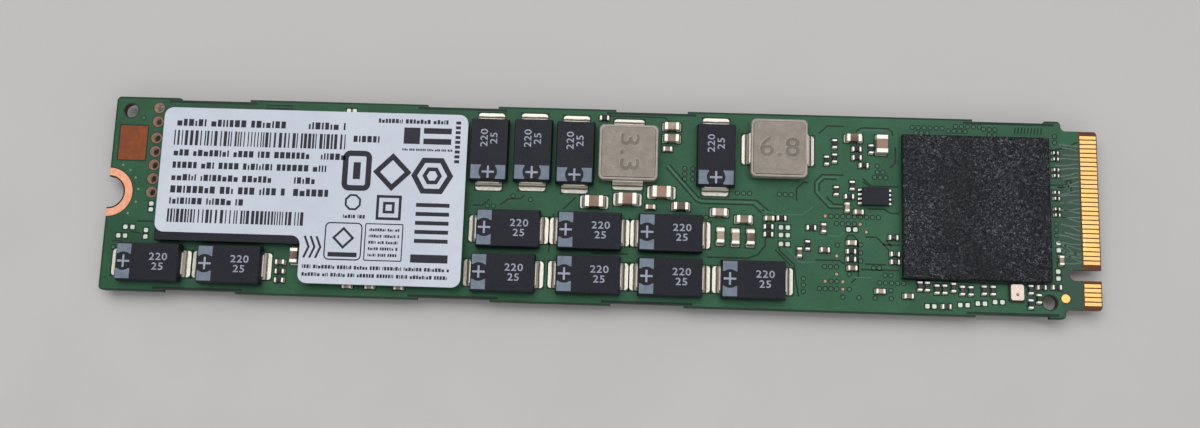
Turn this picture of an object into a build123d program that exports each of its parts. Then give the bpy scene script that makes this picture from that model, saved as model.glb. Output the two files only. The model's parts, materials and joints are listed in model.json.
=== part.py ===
from build123d import *
import os
from collections import defaultdict
from math import cos, radians, sin

os.makedirs("parts", exist_ok=True)

# Frame: origin at the centre of the standoff notch on the underside of the board.
# +X runs along the board to the edge contacts, +Z is the side with the controller.

# Board
BOARD_LENGTH = 110.0
BOARD_WIDTH = 22.0
BOARD_T = 0.80
SKIN_T = 0.04
CORNER_R = 0.5
NOTCH_R = 1.75
TAB_MIDS = (11.2, 39.35, 60.6, 100.25)
TAB_LENGTH = 8.0
TAB_DEPTH = 0.25
TOOLING_HOLES = ((1.73, 9.4), (104.3, -9.2))
TOOLING_R = 0.8

# Edge connector: M key
SHOULDER_X = 106.0
TONGUE_WIDTH = 19.85
SHOULDER_R = 0.5
TIP_CHAMFER = 0.3
KEY_Y = -6.125
KEY_WIDTH = 1.2
KEY_DEPTH = 3.5
BEVEL = 0.15
MASK_END_X = 107.9
CONTACT_PITCH = 0.5
CONTACT_WIDTH = 0.37
CONTACT_START_X = 108.05
CONTACT_END_X = 109.84
TOP_FIRST_Y = 9.25
TOP_SLOTS = 38
BOTTOM_FIRST_Y = 9.0
BOTTOM_SLOTS = 37
KEY_CLEARANCE = 1.0

# Copper and marks that show on the faces
RING_INNER_R = 1.9
RING_OUTER_R = 2.75
PROBE_X = 4.89
PROBE_YS = (9.8, 8.2, 6.3, 4.75, 3.2, 1.65, 0.1)
PROBE_RING_R = 0.62
PROBE_HOLE_R = 0.45
PROBE_WALL = 0.04
FIDUCIAL_R = 0.47
TOP_FIDUCIALS = ((106.0, -8.72),)
BOTTOM_FIDUCIALS = ((105.2, 9.4), (3.6, -9.6))
PATCH_MIN = (0.73, 3.75)
PATCH_MAX = (3.79, 7.66)
TEST_DOT_R = 0.17
TEST_DOTS = (
    (79.97, -0.38), (83.8, -1.2), (84.48, -2.05), (81.24, -4.8),
    (81.24, -6.8), (79.97, -7.62), (81.9, -7.62), (81.9, -8.43),
)
BARE_PAD = 0.46
BARE_PADS = (
    (2.34, -3.9), (3.14, -3.9), (1.64, -4.9), (2.4, -4.9), (4.68, -4.2), (4.68, -4.93),
    (5.0, -1.2), (5.0, -1.85), (75.12, -1.8), (75.87, -1.8), (75.12, -2.65), (75.87, -2.65),
    (75.12, -3.65), (75.87, -3.65), (82.52, -1.81), (83.27, -1.81), (91.05, -10.0),
    (91.8, -10.0), (94.6, -9.76), (95.4, -9.76), (96.5, -9.54), (97.27, -9.54),
    (98.37, -9.32), (99.16, -9.32), (105.4, -2.64), (105.4, -3.44), (105.27, -5.79),
    (105.27, -6.55), (26.45, 10.05), (27.1, 10.05),
)

# Solder
LAND_ROUNDING = 0.25
FILM = 0.03
BALL_R = 0.21
BALL_HEIGHT = 0.25

# Ball-grid packages
SUBSTRATE_T = 0.25
DIE_T = 0.1
CONTROLLER_AT = (96.3, 0.87, 0)
CONTROLLER_SIZE = 16.0
CONTROLLER_HEIGHT = 1.10
CONTROLLER_DIE = (8.5, 7.5)
CONTROLLER_PITCH = 1.0
CONTROLLER_BALLS = (15, 15)
FLASH_LENGTH = 18.0
FLASH_WIDTH = 14.0
FLASH_HEIGHT = 1.20
FLASH_SPOTS = ((15.1, 1.6, 0), (31.6, 0.0, 90))
FLASH_DIE = (12.0, 9.0)
FLASH_DIES = 4
FLASH_DIE_STEP = 0.3
FLASH_PITCH = 1.0
FLASH_BALLS = (12, 11)
DRAM_SPOT = (82.0, 0.0, 90)
DRAM_LENGTH = 13.3
DRAM_WIDTH = 7.5
DRAM_HEIGHT = 1.10
DRAM_DIE = (9.5, 5.5)
DRAM_PITCH = 0.8
DRAM_BALLS = (16, 6)

# Label
LABEL_T = 0.1
LABEL_X = (6.1, 40.2)
LABEL_Y = (-9.7, 9.6)
LABEL_STEP = (22.35, -4.49)
LABEL_CORNER_R = 1.0

# Hold-up capacitors, 7343 case
CAP_LENGTH = 7.3
CAP_WIDTH = 4.3
CAP_HEIGHT = 1.45
CAP_PARTING_Z = 0.62
CAP_DRAFT = 9.0
CAP_LEAD_T = 0.1
CAP_LEAD_WIDTH = 2.4
CAP_FOOT = 1.3
CAP_LAND_SPAN = 8.8
CAP_LAND_LENGTH = 2.4
CAP_LAND_WIDTH = 2.95
CAP_PELLET = (4.4, 3.1, 0.85)
CAP_WIRE_R = 0.15
CAP_SPOTS = (
    (5.65, -7.87, 0), (14.65, -7.87, 0), (44.73, -7.87, 0), (54.05, -7.8, 0),
    (63.0, -7.8, 0), (72.05, -7.8, 0), (45.1, -2.95, 0), (54.05, -2.95, 0),
    (62.95, -2.95, 0), (42.64, 5.8, 90), (47.49, 5.88, 90), (52.2, 5.75, 90),
    (67.79, 5.9, 90),
)

# Power inductors
COIL_SIZE = 6.5
COIL_HEIGHT = 1.45
COIL_CORNER_R = 0.55
COIL_RIM = 0.3
COIL_STEP = 0.12
COIL_STRAP_T = 0.15
COIL_STRAP_WIDTH = 3.4
COIL_STRAP_RISE = 0.85
COIL_FOOT = 1.4
COIL_LAND_SPAN = 8.0
WINDING_R = (1.1, 2.3)
WINDING_T = 0.8
WINDING_TAIL = 1.0
INDUCTOR_SPOTS = ((58.1, 5.9, 90), (74.7, 6.86, 0))

# Chip parts: length, width, height, end-cap length, span and width of the lands
LARGE_CHIP = (2.0, 1.25, 0.95, 0.45, 3.1, 1.4)
CLOSE_CHIP = (2.0, 1.25, 0.95, 0.45, 2.3, 1.3)
MEDIUM_CHIP = (1.6, 0.82, 0.8, 0.35, 2.05, 0.92)
SMALL_CHIP = (1.0, 0.5, 0.5, 0.22, 1.18, 0.54)
RESISTOR_CHIP = (1.0, 0.5, 0.35, 0.2, 1.14, 0.54)
TINY_CHIP = (0.6, 0.3, 0.3, 0.16, 0.82, 0.34)
CAP_SKIN = 0.02
END_ROUNDING = 0.045
SLOPE_SAG = 0.2
SLOPE_CORNER = 0.3

LARGE_SPOTS = ((54.45, 0.4, 0), (58.13, 0.8, 0), (61.87, 1.68, 0))
CLOSE_SPOTS = ((86.1, 7.75, 90),)
MEDIUM_SPOTS = (
    (64.05, 0.15, 0), (68.3, -0.4, 0), (71.0, -1.1, 0), (83.05, 8.4, 0), (62.85, 9.15, 0),
    (62.85, 7.8, 0), (68.45, -3.0, 90), (70.1, -3.1, 90), (71.75, -3.1, 90),
    (21.6, -6.6, 90),
)
SMALL_SPOTS = (
    (60.7, 0.0, 0), (62.43, 6.6, 0), (73.8, -0.88, 0), (79.75, -1.78, 90),
    (77.12, -4.55, 90), (79.9, -4.2, 0), (82.83, -3.33, 0), (82.9, -6.11, 0),
    (85.93, -8.56, 0), (88.97, -9.0, 0), (82.33, 0.6, 90), (83.6, 0.11, 0),
    (105.55, -4.6, 90), (20.05, -7.35, 0), (27.6, -9.75, 0), (30.1, -9.75, 0),
    (33.3, -9.75, 0),
)
RESISTOR_SPOTS = (
    (55.3, 9.97, 0), (73.72, -1.8, 0), (73.72, -2.65, 0), (75.15, -0.8, 0),
    (78.42, -1.76, 0), (78.02, -3.72, 90), (82.78, -4.27, 0), (82.78, -5.14, 0),
    (87.4, -2.6, 0), (87.55, -4.43, 0), (87.55, -5.3, 0), (83.4, 7.2, 0),
    (83.42, 6.24, 0), (84.18, 5.37, 0), (85.0, 7.24, 90), (80.96, 7.73, 90),
    (80.96, 6.1, 90), (80.08, 5.83, 90), (82.9, 3.07, 90), (81.15, 2.43, 90),
    (82.58, 1.83, 0), (90.22, -7.86, 90), (91.02, -7.88, 90), (92.05, -8.15, 90),
    (92.9, -8.13, 90), (93.85, -7.9, 90), (94.8, -8.2, 90), (95.72, -8.22, 90),
    (97.15, -8.1, 90), (98.12, -8.1, 90), (102.18, -7.88, 90), (102.15, -9.45, 90),
    (103.35, -7.59, 0), (104.98, -7.54, 0), (103.05, -8.85, 90), (93.06, -10.0, 0),
    (20.05, -8.36, 0), (20.05, -9.34, 0),
)
COUPLING_X = 105.3
COUPLING_YS = (7.4, 6.7, 5.5, 4.83, 2.95, 2.28, 1.1, 0.43)

# Eight-pin chip
PIN_CHIP_AT = (85.37, 1.87, 0)
PIN_CHIP_SIZE = (2.95, 1.95, 0.75)
PIN_PITCH = 0.5
PINS_PER_SIDE = 4
PIN_WIDTH = 0.22
PIN_T = 0.13
PIN_REACH = 0.34

# Clock oscillator
CLOCK_AT = (100.65, -8.25, 0)
CLOCK_BASE = (1.6, 2.0, 0.3)
CLOCK_LID = (1.38, 1.72)
CLOCK_LID_T = 0.2
CLOCK_LID_R = 0.25
CLOCK_WALL = 0.25
CLOCK_CRYSTAL = (0.8, 1.2, 0.06)

# Parts on the underside
POWER_AT = (66.5, 2.5, 0)
POWER_SIZE = 6.0
POWER_HEIGHT = 0.85
POWER_PINS = 10
POWER_PIN = (0.4, 0.25, 0.2)
POWER_PAD = 4.2
BACK_SMALL_COLUMNS = (42.5, 44.2, 45.9, 47.6, 49.3, 51.0)
BACK_SMALL_ROWS = (-6.4, -4.9, 5.1, 6.6)
BACK_MEDIUM_SPOTS = (
    (58.5, -6.0, 90), (60.5, -6.0, 90), (62.5, -6.0, 90), (64.5, -6.0, 90),
    (58.5, 6.5, 90), (60.5, 6.5, 90), (74.0, 6.0, 90), (74.0, 2.0, 90), (74.0, -2.0, 90),
)
BACK_RESISTOR_SPOTS = (
    (90.0, 6.2, 90), (91.2, 6.2, 90), (92.4, 6.2, 90), (93.6, 6.2, 90), (90.0, -6.2, 90),
    (91.2, -6.2, 90), (92.4, -6.2, 90), (93.6, -6.2, 90), (70.8, -3.4, 0), (70.8, -4.6, 0),
)
BACK_DECOUPLING_RADIUS = 3.6
BACK_DECOUPLING_COUNT = 8

nodes = defaultdict(list)
openings = {"top": [], "bottom": []}


def box_on(length, width, height, floor=0.0):
    """A box standing on the level called floor, centred in X and Y."""
    return Pos(0, 0, floor) * Box(length, width, height, align=(Align.CENTER, Align.CENTER, Align.MIN))


def spot(place, side="top"):
    """Where a part's own origin goes when it is mounted at x, y with a turn, on one face."""
    x, y, turn = place
    if side == "top":
        return Pos(x, y, BOARD_T) * Rot(0, 0, turn)
    return Pos(x, y, 0) * Rot(180, 0, 0) * Rot(0, 0, turn)


def mount_part(pieces, places, side="top"):
    """Copies each piece of a part to every place, under the node that the piece belongs to."""
    for place in places:
        for node, shape in pieces.items():
            nodes[node] += [spot(place, side) * solid for solid in shape.solids()]


def add_lands(rectangles, places, side="top"):
    """Copper lands in openings of the mask, one per rectangle (x, y, length, width), at each place.
    The upper ones have rounded corners."""
    for place in places:
        for x, y, length, width in rectangles:
            plan = Rectangle(length, width)
            if side == "top":
                plan = fillet(plan.vertices(), LAND_ROUNDING * min(length, width))
            land = spot(place, side) * Pos(x, y, -SKIN_T) * extrude(plan, SKIN_T)
            nodes[f"solder_lands_{side}"].append(land)
            openings[side].append(land)


def end_lands(span, length, width):
    """The two lands of a part with a terminal at each end."""
    middle = (span - length) / 2
    return [(-middle, 0, length, width), (middle, 0, length, width)]


def solder_slope(inner_x, end_x, land_x, rise, width):
    """Solder below a terminal and up its end face, on the +X end, with a hollow slope."""
    pull = (end_x + (land_x - end_x) * SLOPE_SAG, rise * SLOPE_SAG)
    outline = Polyline((end_x, rise), (end_x, FILM), (inner_x, FILM), (inner_x, 0), (land_x, 0))
    outline += Bezier((land_x, 0), pull, (end_x, rise))
    slope = extrude(make_face(Plane.XZ * outline), amount=width / 2, both=True)
    corner_r = min(SLOPE_CORNER * width, (land_x - end_x) / 2)
    return slope & extrude(RectangleRounded(2 * land_x, width, corner_r), rise)


def both_ends(shape):
    """A shape and its twin at the other end of the part."""
    return Compound([shape, Rot(0, 0, 180) * shape])


# ---- Board ----------------------------------------------------------------------------------


def board_outline():
    """The plan of the board, with its tongue, standoff notch, key slot and tab recesses."""
    main = Pos(SHOULDER_X / 2, 0) * RectangleRounded(SHOULDER_X, BOARD_WIDTH, CORNER_R)
    tongue_length = BOARD_LENGTH - SHOULDER_X + 2 * SHOULDER_R
    tongue_x = BOARD_LENGTH - tongue_length / 2
    tongue = Pos(tongue_x, 0) * Rectangle(tongue_length, TONGUE_WIDTH)
    tip = [v for v in tongue.vertices() if v.X > tongue_x]
    outline = main + chamfer(tip, TIP_CHAMFER)
    inner = [v for v in outline.vertices() if abs(v.X - SHOULDER_X) < SHOULDER_R / 2
             and abs(abs(v.Y) - TONGUE_WIDTH / 2) < SHOULDER_R / 2]
    outline = fillet(inner, SHOULDER_R)
    for tab_x in TAB_MIDS:
        for side in (-1, 1):
            recess_y = side * (BOARD_WIDTH - TAB_DEPTH) / 2
            outline -= Pos(tab_x, recess_y) * Rectangle(TAB_LENGTH, TAB_DEPTH)
    outline -= Circle(NOTCH_R)
    slot_end = BOARD_LENGTH - KEY_DEPTH + KEY_WIDTH / 2
    outline -= Pos(slot_end, KEY_Y) * Circle(KEY_WIDTH / 2)
    outline -= Pos((slot_end + BOARD_LENGTH) / 2, KEY_Y) * Rectangle(BOARD_LENGTH - slot_end, KEY_WIDTH)
    for x, y in TOOLING_HOLES:
        outline -= Pos(x, y) * Circle(TOOLING_R)
    return outline


def probe_holes(radius):
    """Discs at the row of plated probe holes."""
    return [Pos(PROBE_X, y) * Circle(radius) for y in PROBE_YS]


def make_circuit_board(outline):
    """The glass-epoxy laminate between the two copper skins, bevelled where it enters a socket."""
    plan = outline - probe_holes(PROBE_HOLE_R + PROBE_WALL)
    board = Pos(0, 0, SKIN_T) * extrude(plan, BOARD_T - 2 * SKIN_T)
    tip_edges = board.edges().filter_by(Axis.Y)
    tip_edges = [edge for edge in tip_edges if edge.center().X > BOARD_LENGTH - BEVEL]
    nodes["circuit_board"].append(chamfer(tip_edges, BEVEL))


def make_mask(outline, side):
    """Green solder mask over one face, with a sliver at the notch, open at every land and mark."""
    keep = Pos(MASK_END_X / 2, 0) * Rectangle(MASK_END_X, BOARD_WIDTH)
    plan = (outline & keep) - (Circle(RING_OUTER_R) - Circle(RING_INNER_R))
    plan -= probe_holes(PROBE_RING_R)
    floor = BOARD_T - SKIN_T if side == "top" else 0
    mask = Pos(0, 0, floor) * extrude(plan, SKIN_T)
    mask = mask - openings[side]
    nodes[f"solder_mask_{side}"] += mask.solids()


def make_mounting_rings(outline):
    """The bare copper rings round the standoff notch, one on each face."""
    ring = (Circle(RING_OUTER_R) - Circle(RING_INNER_R)) & outline
    for floor in (0, BOARD_T - SKIN_T):
        nodes["mounting_rings"] += (Pos(0, 0, floor) * extrude(ring, SKIN_T)).solids()


def make_edge_contacts():
    """Gold contacts on both faces of the tongue, left out where the key slot is."""
    length = CONTACT_END_X - CONTACT_START_X
    middle = (CONTACT_END_X + CONTACT_START_X) / 2
    rows = (("top", TOP_FIRST_Y, TOP_SLOTS, BOARD_T - SKIN_T), ("bottom", BOTTOM_FIRST_Y, BOTTOM_SLOTS, 0))
    for side, first_y, slots, floor in rows:
        for number in range(slots):
            y = first_y - CONTACT_PITCH * number
            if abs(y - KEY_Y) > KEY_CLEARANCE:
                contact = Pos(middle, y) * box_on(length, CONTACT_WIDTH, SKIN_T, floor)
                nodes[f"edge_contacts_{side}"].append(contact)


def make_probe_barrels():
    """Plated holes for factory probes: a tube through the board with a collar on each face."""
    collar = Circle(PROBE_RING_R) - Circle(PROBE_HOLE_R)
    tube = Circle(PROBE_HOLE_R + PROBE_WALL) - Circle(PROBE_HOLE_R)
    barrel = extrude(tube, BOARD_T) + extrude(collar, SKIN_T)
    barrel += Pos(0, 0, BOARD_T - SKIN_T) * extrude(collar, SKIN_T)
    for y in PROBE_YS:
        nodes["probe_hole_barrels"] += (Pos(PROBE_X, y) * barrel).solids()


def make_marks():
    """Fiducials, test dots and the bare marking patch, each level with the mask around it."""
    dot = Pos(0, 0, -SKIN_T) * extrude(Circle(FIDUCIAL_R), SKIN_T)
    test_dot = Pos(0, 0, -SKIN_T) * extrude(Circle(TEST_DOT_R), SKIN_T)
    patch_size = [high - low for low, high in zip(PATCH_MIN, PATCH_MAX)]
    patch_at = [(low + high) / 2 for low, high in zip(PATCH_MIN, PATCH_MAX)]
    sets = (
        ("fiducial_marks", dot, TOP_FIDUCIALS, "top"),
        ("fiducial_marks", dot, BOTTOM_FIDUCIALS, "bottom"),
        ("test_points", test_dot, TEST_DOTS, "top"),
        ("marking_patch", box_on(*patch_size, SKIN_T, -SKIN_T), (patch_at,), "top"),
    )
    for node, shape, places, side in sets:
        for x, y in places:
            mark = spot((x, y, 0), side) * shape
            nodes[node].append(mark)
            openings[side].append(mark)


# ---- Ball-grid packages ---------------------------------------------------------------------


def ball_ring(columns, rows, pitch):
    """The outer ring of a grid of solder balls, each flattened against board and package."""
    ball = Pos(0, 0, BALL_HEIGHT / 2) * (Sphere(BALL_R) & Box(1, 1, BALL_HEIGHT))
    half_x = pitch * (columns - 1) / 2
    half_y = pitch * (rows - 1) / 2
    ring = [place * ball for place in GridLocations(pitch, pitch, columns, rows)
            if abs(place.position.X) > half_x - pitch / 2 or abs(place.position.Y) > half_y - pitch / 2]
    return Compound(ring)


def grid_package(name, length, width, height, die_size, die_count, die_step, balls, pitch):
    """A ball-grid package: mould over a substrate, stacked dies inside, balls below."""
    die_floor = BALL_HEIGHT + SUBSTRATE_T
    mould = box_on(length, width, height - die_floor, die_floor)
    first_x = -die_step * (die_count - 1) / 2
    dies = [Pos(first_x + die_step * level, 0) * box_on(*die_size, DIE_T, die_floor + DIE_T * level)
            for level in range(die_count)]
    return {
        f"{name}_mould": mould - dies,
        f"{name}_substrate": box_on(length, width, SUBSTRATE_T, BALL_HEIGHT),
        f"{name}_silicon_dies": Compound(dies),
        f"{name}_solder_balls": ball_ring(*balls, pitch),
    }


def make_packages():
    """The controller, four flash memories, two on each face, and the buffer memory."""
    controller = grid_package("controller", CONTROLLER_SIZE, CONTROLLER_SIZE, CONTROLLER_HEIGHT,
                              CONTROLLER_DIE, 1, 0, CONTROLLER_BALLS, CONTROLLER_PITCH)
    mount_part(controller, [CONTROLLER_AT])
    flash = grid_package("flash_memory", FLASH_LENGTH, FLASH_WIDTH, FLASH_HEIGHT, FLASH_DIE,
                         FLASH_DIES, FLASH_DIE_STEP, FLASH_BALLS, FLASH_PITCH)
    for side in ("top", "bottom"):
        mount_part(flash, FLASH_SPOTS, side)
    buffer = grid_package("buffer_memory", DRAM_LENGTH, DRAM_WIDTH, DRAM_HEIGHT, DRAM_DIE,
                          1, 0, DRAM_BALLS, DRAM_PITCH)
    mount_part(buffer, [DRAM_SPOT], "bottom")


def make_label():
    """The L-shaped label that lies across the two upper flash memories."""
    right, top = LABEL_X[1], LABEL_Y[1]
    step_x, step_y = LABEL_STEP
    corners = ((LABEL_X[0], step_y), (step_x, step_y), (step_x, LABEL_Y[0]), (right, LABEL_Y[0]),
               (right, top), (LABEL_X[0], top))
    plan = make_face(Polyline(*corners, close=True))
    plan = fillet(plan.vertices(), LABEL_CORNER_R)
    nodes["product_label"].append(Pos(0, 0, BOARD_T + FLASH_HEIGHT) * extrude(plan, LABEL_T))


# ---- Hold-up capacitors ---------------------------------------------------------------------


def bent_lead(end_x, thickness, foot, rise, width):
    """A flat lead that runs under a body and turns up its +X end face."""
    sole = Pos(end_x - foot / 2, 0) * box_on(foot, width, thickness, FILM)
    riser = Pos(end_x - thickness / 2, 0) * box_on(thickness, width, rise, FILM)
    return sole + riser


def holdup_capacitor():
    """A moulded tantalum capacitor: drafted case, sintered pellet, wire and two bent leads."""
    case_length = CAP_LENGTH - 2 * CAP_LEAD_T
    case_floor = FILM + CAP_LEAD_T
    waist = Rectangle(case_length, CAP_WIDTH)
    upper = extrude(waist, CAP_HEIGHT - CAP_PARTING_Z, taper=CAP_DRAFT)
    lower = extrude(waist, case_floor - CAP_PARTING_Z, taper=CAP_DRAFT)
    case = Pos(0, 0, CAP_PARTING_Z) * (upper + lower)
    pellet_floor = (CAP_HEIGHT + case_floor - CAP_PELLET[2]) / 2
    pellet = box_on(*CAP_PELLET, pellet_floor)
    wire_length = (case_length - CAP_PELLET[0]) / 2
    wire = Cylinder(CAP_WIRE_R, wire_length, rotation=(0, 90, 0))
    pellet += Pos(-(case_length - wire_length) / 2, 0, CAP_PARTING_Z) * wire
    lead = bent_lead(CAP_LENGTH / 2, CAP_LEAD_T, CAP_FOOT, CAP_PARTING_Z, CAP_LEAD_WIDTH)
    slope = solder_slope(CAP_LENGTH / 2 - CAP_FOOT, CAP_LENGTH / 2, CAP_LAND_SPAN / 2,
                         CAP_PARTING_Z / 2, CAP_LAND_WIDTH)
    return {
        "holdup_capacitor_cases": case - pellet,
        "holdup_capacitor_pellets": pellet,
        "holdup_capacitor_positive_leads": Rot(0, 0, 180) * lead,
        "holdup_capacitor_negative_leads": lead,
        "solder_joints": both_ends(slope),
    }


def make_holdup_capacitors():
    """The bank that keeps the drive alive while it saves its buffer after a power loss."""
    mount_part(holdup_capacitor(), CAP_SPOTS)
    add_lands(end_lands(CAP_LAND_SPAN, CAP_LAND_LENGTH, CAP_LAND_WIDTH), CAP_SPOTS)


# ---- Power inductors ------------------------------------------------------------------------


def power_inductor():
    """A pressed-powder inductor with a stepped top, its winding inside and two strap terminals."""
    core_size = COIL_SIZE - 2 * COIL_STRAP_T
    floor = FILM + COIL_STRAP_T
    lower = RectangleRounded(core_size, COIL_SIZE, COIL_CORNER_R)
    upper = RectangleRounded(core_size - 2 * COIL_RIM, COIL_SIZE - 2 * COIL_RIM, COIL_CORNER_R / 2)
    core = Pos(0, 0, floor) * extrude(lower, COIL_HEIGHT - COIL_STEP - floor)
    core += Pos(0, 0, floor) * extrude(upper, COIL_HEIGHT - floor)
    winding = extrude(Circle(WINDING_R[1]) - Circle(WINDING_R[0]), WINDING_T)
    tail_length = (core_size - WINDING_R[0] - WINDING_R[1]) / 2
    tail = Pos((core_size - tail_length) / 2, 0) * box_on(tail_length, WINDING_TAIL, WINDING_T / 2)
    winding = Pos(0, 0, (COIL_HEIGHT - WINDING_T) / 2) * (winding + tail + Rot(0, 0, 180) * tail)
    strap = bent_lead(COIL_SIZE / 2, COIL_STRAP_T, COIL_FOOT, COIL_STRAP_RISE, COIL_STRAP_WIDTH)
    slope = solder_slope(COIL_SIZE / 2 - COIL_FOOT, COIL_SIZE / 2, COIL_LAND_SPAN / 2,
                         COIL_STRAP_RISE / 2, COIL_STRAP_WIDTH)
    return {
        "inductor_cores": core - winding,
        "inductor_windings": winding,
        "inductor_terminals": both_ends(strap),
        "solder_joints": both_ends(slope),
    }


def make_inductors():
    """The two inductors of the supply converters."""
    mount_part(power_inductor(), INDUCTOR_SPOTS)
    land_length = COIL_LAND_SPAN / 2 - COIL_SIZE / 2 + COIL_FOOT
    add_lands(end_lands(COIL_LAND_SPAN, land_length, COIL_STRAP_WIDTH), INDUCTOR_SPOTS)


# ---- Chip capacitors and resistors ----------------------------------------------------------


def chip_part(body_node, terminal_node, size):
    """A chip part: a block whose two ends are wrapped in plated terminals, with its solder."""
    length, width, height, band, span, land_width = size
    end_x = length / 2
    body = box_on(length - 2 * CAP_SKIN, width - 2 * CAP_SKIN, height - 2 * CAP_SKIN, FILM + CAP_SKIN)
    terminal = Pos(end_x - band / 2, 0) * box_on(band, width, height, FILM)
    upper_edges = terminal.edges().sort_by(Axis.Z)[4:]
    terminal = fillet([edge for edge in upper_edges if edge.center().X > end_x - band / 2 - CAP_SKIN],
                      END_ROUNDING)
    slope = solder_slope(end_x - band, end_x, span / 2, height / 2, width)
    return {
        body_node: body,
        terminal_node: both_ends(terminal - body),
        "solder_joints": both_ends(slope),
    }


def add_chips(body_node, terminal_node, size, places, side="top"):
    """Chip parts of one size at their places, each over two lands."""
    band, span, land_width = size[3:]
    land_length = (span - size[0]) / 2 + band
    mount_part(chip_part(body_node, terminal_node, size), places, side)
    add_lands(end_lands(span, land_length, land_width), places, side)


def make_chips():
    """Ceramic capacitors in four sizes and the resistors, on both faces."""
    large = ("large_ceramic_capacitor_bodies", "large_ceramic_capacitor_ends", LARGE_CHIP)
    medium = ("medium_ceramic_capacitor_bodies", "medium_ceramic_capacitor_ends", MEDIUM_CHIP)
    small = ("small_ceramic_capacitor_bodies", "small_ceramic_capacitor_ends", SMALL_CHIP)
    tiny = ("coupling_capacitor_bodies", "coupling_capacitor_ends", TINY_CHIP)
    resistor = ("chip_resistor_bodies", "chip_resistor_ends", RESISTOR_CHIP)
    add_chips(*large, LARGE_SPOTS)
    add_chips(*large[:2], CLOSE_CHIP, CLOSE_SPOTS)
    add_chips(*medium, MEDIUM_SPOTS)
    add_chips(*small, SMALL_SPOTS)
    add_chips(*tiny, [(COUPLING_X, y, 0) for y in COUPLING_YS])
    add_chips(*resistor, RESISTOR_SPOTS)
    add_chips(*medium, BACK_MEDIUM_SPOTS, "bottom")
    add_chips(*resistor, BACK_RESISTOR_SPOTS, "bottom")
    grid = [(x, y, 90) for x in BACK_SMALL_COLUMNS for y in BACK_SMALL_ROWS]
    add_chips(*small, grid, "bottom")
    ring = []
    for number in range(BACK_DECOUPLING_COUNT):
        turn = 360 * number / BACK_DECOUPLING_COUNT
        x = CONTROLLER_AT[0] + BACK_DECOUPLING_RADIUS * cos(radians(turn))
        y = CONTROLLER_AT[1] + BACK_DECOUPLING_RADIUS * sin(radians(turn))
        ring.append((x, y, 90))
    add_chips(*small, ring, "bottom")


# ---- Small chips ----------------------------------------------------------------------------


def make_pin_chip():
    """The eight-pin chip beside the controller, with gull-wing leads along its short sides."""
    length, width, height = PIN_CHIP_SIZE
    body = box_on(length, width, height - FILM - PIN_T, FILM + PIN_T)
    shelf = FILM + height / 2
    knee = length / 2 + PIN_REACH / 3
    toe = length / 2 + PIN_REACH
    outline = Polyline((length / 2, shelf), (knee, shelf), (knee, FILM + PIN_T), (toe, FILM + PIN_T),
                       (toe, FILM), (knee - PIN_T, FILM), (knee - PIN_T, shelf - PIN_T),
                       (length / 2, shelf - PIN_T), close=True)
    lead = extrude(make_face(Plane.XZ * outline), amount=PIN_WIDTH / 2, both=True)
    film = Pos((length + PIN_REACH) / 2, 0) * box_on(PIN_REACH, PIN_WIDTH, FILM)
    rows = GridLocations(0, PIN_PITCH, 1, PINS_PER_SIDE)
    leads = both_ends(Compound([row * lead for row in rows]))
    joints = both_ends(Compound([row * film for row in rows]))
    mount_part({"eight_pin_chip_body": body, "eight_pin_chip_leads": leads, "solder_joints": joints},
               [PIN_CHIP_AT])
    lands = [(end * (length + PIN_REACH) / 2, row.position.Y, PIN_REACH, PIN_WIDTH)
             for end in (-1, 1) for row in rows]
    add_lands(lands, [PIN_CHIP_AT])


def make_clock():
    """The clock oscillator: ceramic tub, quartz blank inside and a metal lid."""
    length, width, height = CLOCK_BASE
    cavity_floor = FILM + height / 3
    cavity = box_on(length - 2 * CLOCK_WALL, width - 2 * CLOCK_WALL, height, cavity_floor)
    lid = Pos(0, 0, FILM + height) * extrude(RectangleRounded(*CLOCK_LID, CLOCK_LID_R), CLOCK_LID_T)
    feet = GridLocations(length / 2, width / 2, 2, 2)
    foot = box_on(length / 4, width / 4, FILM)
    pieces = {
        "clock_oscillator_base": box_on(*CLOCK_BASE, FILM) - cavity,
        "clock_oscillator_crystal": box_on(*CLOCK_CRYSTAL, cavity_floor),
        "clock_oscillator_lid": lid,
        "solder_joints": Compound([place * foot for place in feet]),
    }
    mount_part(pieces, [CLOCK_AT])
    add_lands([(place.position.X, place.position.Y, length / 4, width / 4) for place in feet],
              [CLOCK_AT])


def make_power_manager():
    """The leadless power manager on the underside, which charges the capacitor bank."""
    pin_length, pin_width, pin_height = POWER_PIN
    row_pitch = CONTACT_PITCH
    pins = []
    for turn in (0, 90, 180, 270):
        for place in GridLocations(0, row_pitch, 1, POWER_PINS):
            edge_x = (POWER_SIZE - pin_length) / 2
            pins.append(Rot(0, 0, turn) * Pos(edge_x, place.position.Y)
                        * box_on(pin_length, pin_width, pin_height, FILM))
    pad = box_on(POWER_PAD, POWER_PAD, pin_height, FILM)
    body = box_on(POWER_SIZE, POWER_SIZE, POWER_HEIGHT - FILM, FILM) - pins - pad
    films = [Pos(0, 0, -FILM) * (pin & box_on(POWER_SIZE, POWER_SIZE, FILM, FILM)) for pin in pins]
    films.append(box_on(POWER_PAD, POWER_PAD, FILM))
    pieces = {
        "power_manager_body": body,
        "power_manager_pins": Compound(pins),
        "power_manager_heat_pad": pad,
        "solder_joints": Compound(films),
    }
    mount_part(pieces, [POWER_AT], "bottom")
    rectangles = []
    for film in films:
        box = film.bounding_box()
        middle = box.center()
        rectangles.append((middle.X, middle.Y, box.size.X, box.size.Y))
    add_lands(rectangles, [POWER_AT], "bottom")


def add_bare_pads():
    """Lands of parts that this version of the drive leaves off."""
    add_lands([(0, 0, BARE_PAD, BARE_PAD)], [(x, y, 0) for x, y in BARE_PADS])


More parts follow.
